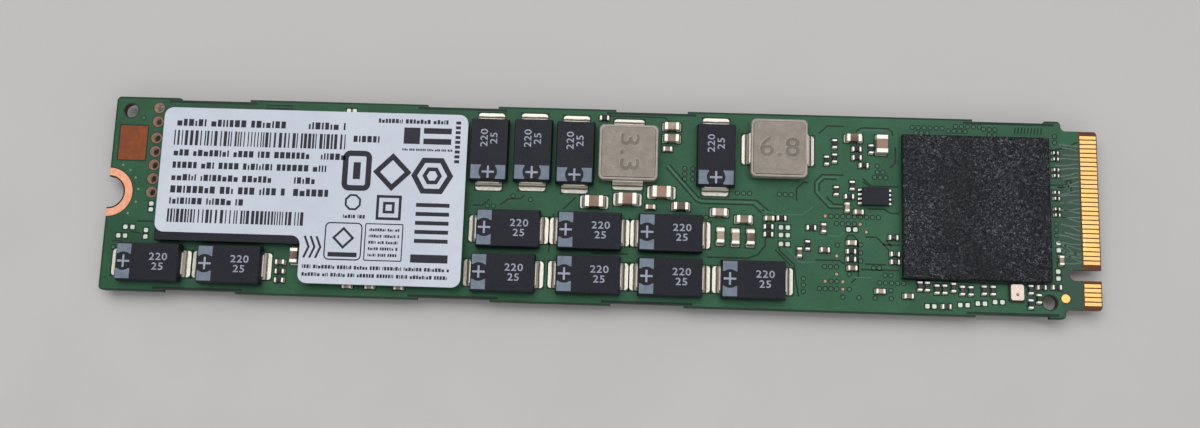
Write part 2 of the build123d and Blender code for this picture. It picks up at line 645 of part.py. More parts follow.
outline = board_outline()
make_packages()
make_label()
make_holdup_capacitors()
make_inductors()
make_chips()
make_pin_chip()
make_clock()
make_power_manager()
add_bare_pads()
make_marks()
make_circuit_board(outline)
make_mask(outline, "top")
make_mask(outline, "bottom")
make_mounting_rings(outline)
make_edge_contacts()
make_probe_barrels()

for node, solids in nodes.items():
    export_step(Compound(solids), f"parts/{node}.step")
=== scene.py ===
import json
import math
import random
import bmesh
import bpy
from mathutils import Matrix, Vector


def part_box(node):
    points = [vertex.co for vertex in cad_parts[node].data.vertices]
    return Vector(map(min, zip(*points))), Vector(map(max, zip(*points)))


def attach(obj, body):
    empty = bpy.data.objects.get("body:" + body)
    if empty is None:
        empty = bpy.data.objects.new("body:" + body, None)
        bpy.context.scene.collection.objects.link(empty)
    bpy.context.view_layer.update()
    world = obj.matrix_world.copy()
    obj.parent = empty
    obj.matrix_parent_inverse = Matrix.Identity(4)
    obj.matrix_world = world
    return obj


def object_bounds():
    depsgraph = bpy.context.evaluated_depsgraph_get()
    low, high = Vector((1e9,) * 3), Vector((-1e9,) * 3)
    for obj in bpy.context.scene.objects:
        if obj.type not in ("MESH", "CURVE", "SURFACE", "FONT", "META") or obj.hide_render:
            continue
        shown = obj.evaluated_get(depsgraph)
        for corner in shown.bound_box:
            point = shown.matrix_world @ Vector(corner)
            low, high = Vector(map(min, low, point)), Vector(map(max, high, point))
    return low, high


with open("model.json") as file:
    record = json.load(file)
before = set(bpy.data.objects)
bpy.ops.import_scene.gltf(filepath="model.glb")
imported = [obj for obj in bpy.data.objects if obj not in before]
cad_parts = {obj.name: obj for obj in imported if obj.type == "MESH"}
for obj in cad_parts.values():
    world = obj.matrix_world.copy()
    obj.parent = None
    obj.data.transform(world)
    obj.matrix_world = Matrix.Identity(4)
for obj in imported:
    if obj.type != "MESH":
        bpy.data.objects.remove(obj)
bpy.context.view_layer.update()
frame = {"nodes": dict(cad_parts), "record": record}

MM = 0.001
INK = 0.008 * MM
LIFT = 0.002 * MM
NODES = frame["nodes"]
BOARD_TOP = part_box("solder_mask_top")[1].z
BOARD_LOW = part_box("solder_mask_bottom")[0].z
BOARD_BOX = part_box("circuit_board")
MASK_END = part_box("solder_mask_top")[1].x
MIDDLE_Z = (BOARD_TOP + BOARD_LOW) / 2


# ---- Materials ----


class Shader:
    """A material whose nodes are added one call at a time, over coordinates in the row frame."""

    def __init__(self, name):
        self.material = bpy.data.materials.new(name)
        self.material.use_nodes = True
        self.tree = self.material.node_tree
        self.base = self.tree.nodes["Principled BSDF"]
        self.coords = self.tree.nodes.new("ShaderNodeTexCoord").outputs["Object"]

    def link(self, source, socket):
        """Connects an output, or sets a plain value, on an input socket."""
        if isinstance(source, bpy.types.NodeSocket):
            self.tree.links.new(source, socket)
        else:
            socket.default_value = source

    def noise(self, scale, detail=3.0, roughness=0.55, distortion=0.0):
        """Noise with features of about 1 / scale metres."""
        node = self.tree.nodes.new("ShaderNodeTexNoise")
        self.link(self.coords, node.inputs["Vector"])
        node.inputs["Scale"].default_value = scale
        node.inputs["Detail"].default_value = detail
        node.inputs["Roughness"].default_value = roughness
        node.inputs["Distortion"].default_value = distortion
        return node.outputs["Fac"]

    def weave(self, scale):
        """Crossed waves, for woven glass cloth."""
        waves = []
        for direction in ("X", "Y"):
            node = self.tree.nodes.new("ShaderNodeTexWave")
            node.bands_direction = direction
            self.link(self.coords, node.inputs["Vector"])
            node.inputs["Scale"].default_value = scale
            node.inputs["Distortion"].default_value = 0.6
            waves.append(node.outputs["Fac"])
        return self.math("MULTIPLY", *waves)

    def math(self, operation, first, second=0.0):
        """One arithmetic step between two values."""
        node = self.tree.nodes.new("ShaderNodeMath")
        node.operation = operation
        self.link(first, node.inputs[0])
        self.link(second, node.inputs[1])
        return node.outputs[0]

    def axis(self, name):
        """One coordinate in the row frame, in metres."""
        node = self.tree.nodes.new("ShaderNodeSeparateXYZ")
        self.link(self.coords, node.inputs[0])
        return node.outputs[name]

    def ramp(self, value, low, high):
        """Stretches the range from low to high over 0 to 1."""
        node = self.tree.nodes.new("ShaderNodeMapRange")
        node.clamp = True
        self.link(value, node.inputs["Value"])
        node.inputs["From Min"].default_value = low
        node.inputs["From Max"].default_value = high
        return node.outputs["Result"]

    def mix(self, factor, first, second):
        """Blends two colours."""
        node = self.tree.nodes.new("ShaderNodeMix")
        node.data_type = "RGBA"
        self.link(factor, node.inputs["Factor"])
        for color, socket in ((first, node.inputs["A"]), (second, node.inputs["B"])):
            self.link(color if isinstance(color, bpy.types.NodeSocket) else (*color, 1.0), socket)
        return node.outputs["Result"]

    def bump(self, height, strength, distance):
        """Relief in the shading normal, with a depth in metres."""
        node = self.tree.nodes.new("ShaderNodeBump")
        node.inputs["Strength"].default_value = strength
        node.inputs["Distance"].default_value = distance
        self.link(height, node.inputs["Height"])
        self.link(node.outputs["Normal"], self.base.inputs["Normal"])

    def finish(self, color, roughness, metallic=0.0, coat=0.0, specular=0.2):
        """Connects the surface's colour and finish."""
        color = color if isinstance(color, bpy.types.NodeSocket) else (*color, 1.0)
        self.link(color, self.base.inputs["Base Color"])
        self.link(roughness, self.base.inputs["Roughness"])
        self.base.inputs["Metallic"].default_value = metallic
        self.base.inputs["Coat Weight"].default_value = coat
        self.base.inputs["Coat Roughness"].default_value = 0.2
        self.base.inputs["Specular IOR Level"].default_value = specular
        return self.material


def srgb(red, green, blue):
    """A colour in 0 to 255 steps as linear light."""
    return tuple(((c / 255 + 0.055) / 1.055) ** 2.4 if c > 10 else c / 255 / 12.92
                 for c in (red, green, blue))


def grained(name, dark, light, scale, rough=(0.4, 0.6), metallic=0.0, coat=0.0, relief=0.3):
    """A surface with mottled colour, uneven gloss and fine grain at 1 / scale metres."""
    shader = Shader(name)
    mottle = shader.ramp(shader.noise(scale / 6), 0.35, 0.65)
    grain = shader.noise(scale, detail=4.0)
    color = shader.mix(shader.math("MULTIPLY", mottle, shader.ramp(grain, 0.2, 0.7)), dark, light)
    gloss = shader.math("ADD", shader.math("MULTIPLY", mottle, rough[1] - rough[0]), rough[0])
    shader.bump(grain, relief, 0.02 * MM)
    return shader.finish(color, gloss, metallic, coat)


EDGE_FADE = (0.22 * MM, 0.16 * MM)
END_FADE = (0.20 * MM, 0.15 * MM)
NOTCH_FADE = (1.95 * MM, 1.90 * MM)
FAN_AREA_X = MASK_END - 2.6 * MM
FAN_AREA_Y = (8.15 * MM, 8.0 * MM)


def mask_material(name, tint):
    """Solder mask over copper: mottled green, dark at bare edges, grey near the contacts, with painted shade
    that darkens it away from the contacts.
    """
    shader = Shader(name)
    # Painted shade: the darkest pour tone, used at the end away from the contacts.
    painted_shade_pour = [c * tint for c in srgb(38, 80, 52)]
    pour = [c * tint for c in srgb(50, 94, 68)]
    light = [c * tint for c in srgb(60, 104, 78)]
    dark = [c * tint for c in srgb(24, 52, 36)]
    grey = [c * tint for c in srgb(60, 78, 68)]
    mottle = shader.ramp(shader.noise(260), 0.35, 0.68)
    # Painted shade: the mask darkens from the contacts towards the notch end, standing in for light that
    # falls off there.
    painted_falloff_from_contacts = shader.ramp(shader.axis("X"), BOARD_BOX[0].x, BOARD_BOX[1].x * 0.8)
    low_tone = shader.mix(painted_falloff_from_contacts, painted_shade_pour, pour)
    high_tone = shader.mix(painted_falloff_from_contacts, pour, light)
    color = shader.mix(mottle, low_tone, high_tone)
    islands = shader.ramp(shader.noise(95, detail=1.0), 0.60, 0.615)
    color = shader.mix(shader.math("MULTIPLY", islands, 0.22), color, dark)
    grain = shader.noise(5200, detail=2.0)
    color = shader.mix(shader.math("MULTIPLY", shader.ramp(grain, 0.4, 0.75), 0.25), color, dark)
    near_contacts = shader.ramp(shader.axis("X"), FAN_AREA_X, FAN_AREA_X + 0.5 * MM)
    below_pour = shader.ramp(shader.axis("Y"), *FAN_AREA_Y)
    fan_area = shader.math("MULTIPLY", near_contacts, below_pour)
    color = shader.mix(shader.math("MULTIPLY", fan_area, 0.75), color, grey)
    from_middle = shader.math("ABSOLUTE", shader.axis("Y"))
    half_width = BOARD_BOX[1].y
    edge = shader.ramp(from_middle, half_width - EDGE_FADE[0], half_width - EDGE_FADE[1])
    color = shader.mix(shader.math("MULTIPLY", edge, 0.9), color, dark)
    end_edge = shader.ramp(shader.axis("X"), *END_FADE)
    color = shader.mix(shader.math("MULTIPLY", end_edge, 0.9), color, dark)
    offsets = (shader.axis("X"), shader.axis("Y"))
    squares = [shader.math("MULTIPLY", offset, offset) for offset in offsets]
    from_notch = shader.math("SQRT", shader.math("ADD", *squares))
    notch_rim = shader.ramp(from_notch, *NOTCH_FADE)
    color = shader.mix(notch_rim, color, srgb(56, 38, 26))
    shader.bump(shader.math("ADD", grain, shader.noise(700)), 0.25, 0.015 * MM)
    gloss = shader.math("ADD", shader.math("MULTIPLY", mottle, 0.12), 0.38)
    return shader.finish(color, gloss, specular=0.15)


def laminate_material():
    """Glass-epoxy: amber where the faces are bare, dark brown along the routed edges."""
    shader = Shader("laminate")
    cloth = shader.weave(900)
    amber = shader.mix(cloth, srgb(84, 47, 25), srgb(110, 66, 34))
    fibres = shader.noise(6000, detail=4.0, distortion=2.0)
    routed = shader.mix(fibres, srgb(52, 30, 16), srgb(96, 62, 34))
    layer = shader.math("ABSOLUTE", shader.math("SUBTRACT", shader.axis("Z"), BOARD_TOP / 2))
    face = shader.ramp(layer, 0.345 * MM, 0.357 * MM)
    shader.bump(fibres, 0.3, 0.02 * MM)
    return shader.finish(shader.mix(face, routed, amber), 0.5, 0.0, 0.1)


def label_material():
    """Satin polyester film with a faint fibre and handling sheen."""
    shader = Shader("label_film")
    sheen = shader.noise(220, detail=2.0)
    fibre = shader.noise(3600, detail=5.0, distortion=0.8)
    color = shader.mix(shader.ramp(sheen, 0.3, 0.7), srgb(197, 202, 213), srgb(208, 212, 221))
    threads = shader.math("MULTIPLY", shader.ramp(fibre, 0.45, 0.8), 0.18)
    color = shader.mix(threads, color, srgb(176, 182, 194))
    shader.bump(fibre, 0.2, 0.01 * MM)
    return shader.finish(color, shader.ramp(sheen, -0.6, 1.6), 0.0)


def speckled_mould(name):
    """Laser-frosted mould compound: charcoal with a coarse, crinkled speckle, and painted glints as thin pale
    lines along the crinkle folds and fine pale specks.
    """
    shader = Shader(name)
    crinkle = shader.noise(2000, detail=3.0, roughness=0.6, distortion=1.2)
    speck = shader.ramp(crinkle, 0.46, 0.68)
    folds = shader.noise(1500, detail=1.5, roughness=0.6, distortion=1.4)
    ridge = shader.ramp(shader.math("ABSOLUTE", shader.math("SUBTRACT", folds, 0.5)), 0.028, 0.0)
    broken = shader.ramp(shader.noise(2600, detail=2.0, distortion=0.8), 0.46, 0.62)
    # Painted glints: thin pale lines along the crinkle folds, broken up, and fine pale specks.
    glints = shader.ramp(shader.noise(4600, detail=2.0, roughness=0.7, distortion=1.6), 0.60, 0.72)
    painted_glints = shader.math("MAXIMUM", shader.math("MULTIPLY", ridge, broken), glints)
    # The painted glints are spread in patches.
    painted_glint_patches = shader.ramp(shader.noise(150, detail=0.0), 0.10, 0.60)
    color = shader.mix(speck, srgb(3, 4, 10), srgb(13, 14, 22))
    # Painted glints: the folds and specks are coloured pale grey.
    color = shader.mix(shader.math("MULTIPLY", painted_glints, painted_glint_patches), color, srgb(136, 137, 146))
    shader.bump(crinkle, 1.0, 0.15 * MM)
    gloss = shader.math("ADD", shader.math("MULTIPLY", speck, 0.12), 0.20)
    return shader.finish(color, gloss, specular=0.21)


def solder_material(name, color, roughness, metallic=0.35):
    """Plated metal with uneven gloss and soft frosting."""
    shader = Shader(name)
    frost = shader.noise(3000, detail=4.0)
    dull = [c * 0.8 for c in color]
    shader.bump(frost, 0.35, 0.02 * MM)
    gloss = shader.math("ADD", shader.math("MULTIPLY", frost, 0.25), roughness - 0.12)
    return shader.finish(shader.mix(shader.ramp(frost, 0.35, 0.65), dull, color), gloss, metallic, 0.0, 0.5)


def fillet_material():
    """Reflowed solder, with light painted by height: a pale painted highlight at the foot, a painted dark
    reflection of the part above it, dull where it climbs.
    """
    shader = Shader("reflowed_solder_painted_light")
    frost = shader.noise(3200, detail=4.0)
    from_middle = shader.math("ABSOLUTE", shader.math("SUBTRACT", shader.axis("Z"), MIDDLE_Z))
    rise = shader.math("SUBTRACT", from_middle, BOARD_TOP - MIDDLE_Z)
    uneven = shader.math("ADD", rise, shader.math("MULTIPLY", shader.math("SUBTRACT", frost, 0.5), 0.05 * MM))
    # Painted highlight: a pale tone at the foot of the joint.
    painted_highlight_foot = shader.mix(shader.ramp(frost, 0.3, 0.7), srgb(214, 209, 194), srgb(246, 242, 228))
    # Painted reflection: a dark band above the foot, for the dark part mirrored in the solder.
    painted_dark_reflection = shader.mix(shader.ramp(uneven, 0.06 * MM, 0.09 * MM), painted_highlight_foot, srgb(86, 76, 68))
    color = shader.mix(shader.ramp(uneven, 0.13 * MM, 0.19 * MM), painted_dark_reflection, srgb(196, 186, 172))
    shader.bump(frost, 0.3, 0.02 * MM)
    return shader.finish(color, shader.ramp(frost, -0.4, 1.8), 0.35, 0.0, 0.5)


def probe_material():
    """Plated probe hole: brown collar on the faces, and plating down the barrel painted pale as painted light
    inside the hole.
    """
    shader = Shader("probe_plating_painted_lit_barrel")
    grain = shader.noise(2600, detail=4.0)
    from_middle = shader.math("ABSOLUTE", shader.math("SUBTRACT", shader.axis("Z"), MIDDLE_Z))
    face_height = BOARD_TOP - MIDDLE_Z
    collar = shader.mix(grain, srgb(104, 76, 58), srgb(156, 122, 98))
    # Painted light: the barrel plating is made pale, as if lit inside the hole.
    painted_lit_barrel = shader.mix(grain, srgb(226, 192, 172), srgb(250, 228, 212))
    face = shader.ramp(from_middle, face_height - 0.03 * MM, face_height - 0.01 * MM)
    shader.bump(grain, 0.3, 0.02 * MM)
    return shader.finish(shader.mix(face, painted_lit_barrel, collar), shader.ramp(grain, -0.6, 1.8), 0.15)


def ceramic_material(name, colors, spread):
    """Fired ceramic whose tone drifts from part to part, with a fine grain."""
    shader = Shader(name)
    drift = shader.ramp(shader.noise(spread, detail=0.0), 0.36, 0.64)
    grain = shader.noise(4600, detail=4.0)
    tone = shader.mix(drift, colors[0], colors[1])
    dusty = shader.mix(shader.math("MULTIPLY", shader.ramp(grain, 0.35, 0.75), 0.4), tone, colors[2])
    shader.bump(grain, 0.3, 0.02 * MM)
    return shader.finish(dusty, shader.ramp(grain, -1.0, 1.6))


# Grain and gloss range of the mask and of printed marks
COATED = (4000, (0.35, 0.5))
PRINTED = (5200, (0.45, 0.65))
# Dark, light and dusty tones of fired ceramic
BROWN_CERAMIC = (srgb(132, 104, 90), srgb(166, 134, 116), srgb(120, 98, 86))
MIXED_CERAMIC = (srgb(98, 80, 70), srgb(182, 164, 146), srgb(128, 112, 100))
DARK_CERAMIC = (srgb(34, 32, 36), srgb(58, 52, 50), srgb(46, 42, 44))

MAT = {
    "mask_top": mask_material("mask_upper_face", 1.0),
    "mask_bottom": mask_material("mask_lower_face", 0.95),
    "mask_dark": grained("mask_over_bare_laminate", srgb(17, 38, 27), srgb(29, 53, 39), *COATED),
    "mask_rib": grained("mask_over_track", srgb(62, 104, 80), srgb(84, 124, 100), *COATED),
    "mask_grey": grained("mask_over_fan_track", srgb(84, 102, 92), srgb(116, 130, 120), *COATED),
    "stitch": grained("filled_via", srgb(104, 126, 84), srgb(140, 156, 110), *COATED),
    "laminate": laminate_material(),
    "copper": grained("bare_copper", srgb(208, 138, 106), srgb(238, 178, 146), 2400, (0.3, 0.5), 0.45),
    "probe": probe_material(),
    "test": grained("test_point_copper", srgb(160, 130, 112), srgb(196, 166, 146), 2400, (0.35, 0.5), 0.4),
    "gold": grained("gold_plating", srgb(236, 178, 100), srgb(248, 206, 138), 2600, (0.25, 0.42), 0.5),
    "patch": grained("aged_copper_patch", srgb(118, 60, 32), srgb(156, 86, 48), 2200, (0.45, 0.65), 0.15),
    "mould": grained("capacitor_case", srgb(20, 21, 29), srgb(37, 38, 48), 3600, (0.42, 0.6), relief=0.35),
    "package": speckled_mould("frosted_package_painted_glints"),
    "chip": grained("smooth_chip_case", srgb(22, 23, 31), srgb(37, 38, 47), 4200, (0.4, 0.55)),
    "substrate": grained("package_substrate", srgb(14, 24, 18), srgb(24, 38, 28), 3200, (0.45, 0.6)),
    "silicon": grained("silicon", srgb(88, 92, 104), srgb(112, 116, 128), 2000, (0.1, 0.2), 0.6),
    "label": label_material(),
    "ink": grained("label_print", srgb(38, 37, 47), srgb(54, 53, 63), *PRINTED),
    "mark": grained("capacitor_bracket_print", srgb(108, 118, 131), srgb(134, 144, 158), *PRINTED),
    "numeral": grained("capacitor_numerals", srgb(146, 149, 164), srgb(174, 177, 192), *PRINTED),
    "core": grained("pressed_powder", srgb(140, 131, 121), srgb(166, 156, 146), 6400, (0.5, 0.7), 0.1,
                    relief=0.6),
    # Painted shade: the pressed numerals are darker than the powder they are pressed in.
    "numeral_painted_shade": grained("pressed_numeral_painted_shade", srgb(116, 108, 99), srgb(142, 132, 123), 6400, (0.5, 0.7)),
    # Pale flange tone, also used for the painted highlight copy of the inductor numerals.
    "pale_rim_and_painted_highlight": grained("pressed_rim_and_painted_highlight", srgb(168, 159, 149), srgb(194, 185, 175), 6400, (0.45, 0.6), 0.1),
    # Painted shade: a dark band along each inductor's step.
    "step_painted_shade": grained("pressed_step_painted_shade", srgb(66, 58, 52), srgb(92, 82, 74), 6400, (0.5, 0.7)),
    "ceramic": ceramic_material("fired_ceramic_large", BROWN_CERAMIC, 300),
    "ceramic_medium": ceramic_material("fired_ceramic_medium", MIXED_CERAMIC, 330),
    "ceramic_small": ceramic_material("fired_ceramic_small", MIXED_CERAMIC, 420),
    "ceramic_dark": ceramic_material("fired_ceramic_dark", DARK_CERAMIC, 420),
    "glaze": grained("resistor_glaze", srgb(20, 19, 24), srgb(36, 34, 42), 4200, (0.25, 0.4), coat=0.1),
    "solder": fillet_material(),
    "tin": solder_material("tin_plating", srgb(250, 245, 232), 0.42),
    "pad_tin": solder_material("levelled_pad", srgb(196, 206, 190), 0.36),
    "lead": solder_material("capacitor_lead", srgb(246, 240, 226), 0.42),
    "tub": grained("oscillator_tub", srgb(48, 42, 38), srgb(70, 62, 56), 4200, (0.45, 0.6)),
    "lid": solder_material("oscillator_lid", srgb(226, 206, 190), 0.36, 0.3),
    "pellet": grained("sintered_pellet", srgb(46, 46, 50), srgb(70, 70, 74), 6000, (0.6, 0.8), 0.3),
}

FINISHES = {
    "mask_top": ("solder_mask_top",),
    "mask_bottom": ("solder_mask_bottom",),
    "laminate": ("circuit_board",),
    "copper": ("mounting_rings", "inductor_windings"),
    "probe": ("probe_hole_barrels",),
    "test": ("test_points",),
    "gold": ("edge_contacts_top", "edge_contacts_bottom", "fiducial_marks"),
    "patch": ("marking_patch",),
    "mould": ("holdup_capacitor_cases",),
    "package": ("controller_mould",),
    "chip": ("eight_pin_chip_body", "power_manager_body", "flash_memory_mould", "buffer_memory_mould"),
    "substrate": ("controller_substrate", "flash_memory_substrate", "buffer_memory_substrate"),
    "silicon": ("controller_silicon_dies", "flash_memory_silicon_dies", "buffer_memory_silicon_dies",
                "clock_oscillator_crystal"),
    "label": ("product_label",),
    "core": ("inductor_cores",),
    "ceramic": ("large_ceramic_capacitor_bodies",),
    "ceramic_medium": ("medium_ceramic_capacitor_bodies",),
    "ceramic_small": ("small_ceramic_capacitor_bodies",),
    "ceramic_dark": ("coupling_capacitor_bodies",),
    "glaze": ("chip_resistor_bodies",),
    "solder": ("solder_joints", "controller_solder_balls", "flash_memory_solder_balls",
               "buffer_memory_solder_balls"),
    "pad_tin": ("solder_lands_top", "solder_lands_bottom"),
    "tin": ("large_ceramic_capacitor_ends", "medium_ceramic_capacitor_ends",
            "small_ceramic_capacitor_ends", "coupling_capacitor_ends", "chip_resistor_ends",
            "eight_pin_chip_leads", "power_manager_pins", "power_manager_heat_pad",
            "inductor_terminals"),
    "lead": ("holdup_capacitor_positive_leads", "holdup_capacitor_negative_leads"),
    "tub": ("clock_oscillator_base",),
    "lid": ("clock_oscillator_lid",),
    "pellet": ("holdup_capacitor_pellets",),
}

# Nodes by the softening of their edges, in millimetres
SOFTENED = {
    0.10: ("holdup_capacitor_cases",),
    0.05: ("controller_mould", "flash_memory_mould", "buffer_memory_mould", "eight_pin_chip_body",
           "power_manager_body", "inductor_terminals", "clock_oscillator_lid",
           "large_ceramic_capacitor_bodies"),
    0.045: ("inductor_cores",),
    0.04: ("medium_ceramic_capacitor_bodies",),
    0.03: ("holdup_capacitor_positive_leads", "holdup_capacitor_negative_leads",
           "clock_oscillator_base", "chip_resistor_bodies", "small_ceramic_capacitor_bodies",
           "eight_pin_chip_leads"),
    0.02: ("edge_contacts_top", "edge_contacts_bottom", "product_label"),
    0.015: ("mounting_rings",),
}


def dress_frame():
    """Gives every CAD node its material, and softens the edges that catch the light."""
    for finish, names in FINISHES.items():
        for name in names:
            node = NODES[name]
            node.data.materials.clear()
            node.data.materials.append(MAT[finish])
    for width, names in SOFTENED.items():
        for name in names:
            weld = NODES[name].modifiers.new("weld", "WELD")
            weld.merge_threshold = LIFT / 4
            bevel = NODES[name].modifiers.new("soft_edges", "BEVEL")
            bevel.width = width * MM
            bevel.segments = 3
            bevel.limit_method = "ANGLE"
            bevel.angle_limit = math.radians(30)


# ---- Mesh helpers ----


def solids(name):
    """The (lowest, highest) corners of each separate solid of a CAD node."""
    mesh = bmesh.new()
    mesh.from_mesh(NODES[name].data)
    bmesh.ops.remove_doubles(mesh, verts=mesh.verts, dist=LIFT / 4)
    left = set(mesh.verts)
    found = []
    while left:
        island = [left.pop()]
        points = []
        while island:
            vert = island.pop()
            points.append(vert.co.copy())
            for edge in vert.link_edges:
                other = edge.other_vert(vert)
                if other in left:
                    left.remove(other)
                    island.append(other)
        low = Vector([min(p[i] for p in points) for i in range(3)])
        high = Vector([max(p[i] for p in points) for i in range(3)])
        found.append((low, high))
    mesh.free()
    return sorted(found, key=lambda corners: (round(corners[0].x, 6), round(corners[0].y, 6)))


def piece(name, mesh, finish, smooth=False):
    """A finished piece of the drive from a bmesh, riding on the only body."""
    data = bpy.data.meshes.new(name)
    bmesh.ops.recalc_face_normals(mesh, faces=mesh.faces)
    mesh.to_mesh(data)
    mesh.free()
    if smooth:
        data.shade_smooth()
    data.materials.append(MAT[finish])
    thing = bpy.data.objects.new(name, data)
    bpy.context.scene.collection.objects.link(thing)
    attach(thing, "root")
    return thing


def prism(mesh, outline, low, high):
    """Adds a closed slab with the given outline, points in metres, between two levels."""
    top = [mesh.verts.new((x, y, high)) for x, y in outline]
    base = [mesh.verts.new((x, y, low)) for x, y in outline]
    mesh.faces.new(top)
    mesh.faces.new(list(reversed(base)))
    for i in range(len(outline)):
        j = (i + 1) % len(outline)
        mesh.faces.new((top[i], base[i], base[j], top[j]))


def slab(mesh, x0, y0, x1, y1, low, high):
    """Adds a rectangular slab."""
    prism(mesh, ((x0, y0), (x1, y0), (x1, y1), (x0, y1)), low, high)


def arc_points(x, y, radius, start, end, steps):
    """Points along an arc, angles in degrees."""
    turns = [math.radians(start + (end - start) * i / steps) for i in range(steps + 1)]
    return [(x + radius * math.cos(t), y + radius * math.sin(t)) for t in turns]


def scaled(points):
    """Points in millimetres as metres."""
    return [(x * MM, y * MM) for x, y in points]


def washer(mesh, x, y, outer, inner, low, high, steps=16):
    """Adds a flat ring."""
    rims = []
    for radius, level in ((outer, high), (inner, high), (inner, low), (outer, low)):
        rims.append([mesh.verts.new((px, py, level))
                     for px, py in arc_points(x, y, radius, 0, 360 - 360 / steps, steps - 1)])
    for i in range(steps):
        j = (i + 1) % steps
        for a, b in zip(rims, rims[1:] + rims[:1]):
            mesh.faces.new((a[i], a[j], b[j], b[i]))


def ribbon(mesh, path, width, low, high, closed=False):
    """Adds a flat strip of constant width along a path, with mitred corners."""
    count = len(path)
    left, right = [], []
    for i in range(count):
        before = Vector(path[i - 1]) if i > 0 or closed else None
        here = Vector(path[i])
        after = Vector(path[(i + 1) % count]) if i < count - 1 or closed else None
        runs = [(b - a).normalized() for a, b in ((before, here), (here, after)) if a and b]
        along = sum(runs, Vector((0, 0))).normalized()
        side = Vector((-along.y, along.x))
        lean = max(0.4, side.dot(Vector((-runs[0].y, runs[0].x))))
        left.append(here + side * (width / 2 / lean))
        right.append(here - side * (width / 2 / lean))
    rails = [[mesh.verts.new((p.x, p.y, level)) for p in rail]
             for rail, level in ((left, high), (right, high), (right, low), (left, low))]
    for i in range(count if closed else count - 1):
        j = (i + 1) % count
        for a, b in zip(rails, rails[1:] + rails[:1]):
            mesh.faces.new((a[i], a[j], b[j], b[i]))
    if not closed:
        for i in (0, count - 1):
            mesh.faces.new([rail[i] for rail in rails])


def rounded_outline(x0, y0, x1, y1, radius):
    """A closed path with rounded corners, in metres."""
    corners = ((x1 - radius, y1 - radius, 0), (x0 + radius, y1 - radius, 90),
               (x0 + radius, y0 + radius, 180), (x1 - radius, y0 + radius, 270))
    path = []
    for x, y, start in corners:
        path += scaled(arc_points(x, y, radius, start, start + 90, 5))
    return path


def box_path(low, high, out):
    """The closed outline of a box from above, moved out by a distance."""
    x0, y0, x1, y1 = low.x - out, low.y - out, high.x + out, high.y + out
    return [(x0, y0), (x1, y0), (x1, y1), (x0, y1)]


def polygon(x, y, radius, sides, turn):
    """A regular closed path, in metres."""
    return scaled(arc_points(x, y, radius, turn, turn + 360 - 360 / sides, sides - 1))


NUMERAL_STRETCH = 1.15
NUMERAL_SPACING = 1.1
NUMERAL_LINE_SPACING = 0.96


def numerals(mesh, words, height, place, low, high, weight=0.0):
    """Adds raised numerals, centred on place (x, y, turn in degrees), from the built-in face."""
    curve = bpy.data.curves.new("numerals", "FONT")
    curve.body = words
    curve.align_x = "CENTER"
    curve.align_y = "CENTER"
    curve.size = height
    curve.space_line = NUMERAL_LINE_SPACING
    curve.offset = weight
    curve.space_character = NUMERAL_SPACING
    curve.extrude = (high - low) / 2
    curve.resolution_u = 3
    holder = bpy.data.objects.new("numerals", curve)
    bpy.context.scene.collection.objects.link(holder)
    bpy.context.view_layer.update()
    shape = holder.evaluated_get(bpy.context.evaluated_depsgraph_get()).to_mesh().copy()
    bpy.data.objects.remove(holder)
    x, y, turn = place
    stretch = Matrix.Scale(NUMERAL_STRETCH, 4, (1, 0, 0))
    spin = Matrix.Rotation(math.radians(turn), 4, "Z")
    shape.transform(Matrix.Translation((x, y, (low + high) / 2)) @ spin @ stretch)
    mesh.from_mesh(shape)
    bpy.data.meshes.remove(shape)


# ---- Board relief ----

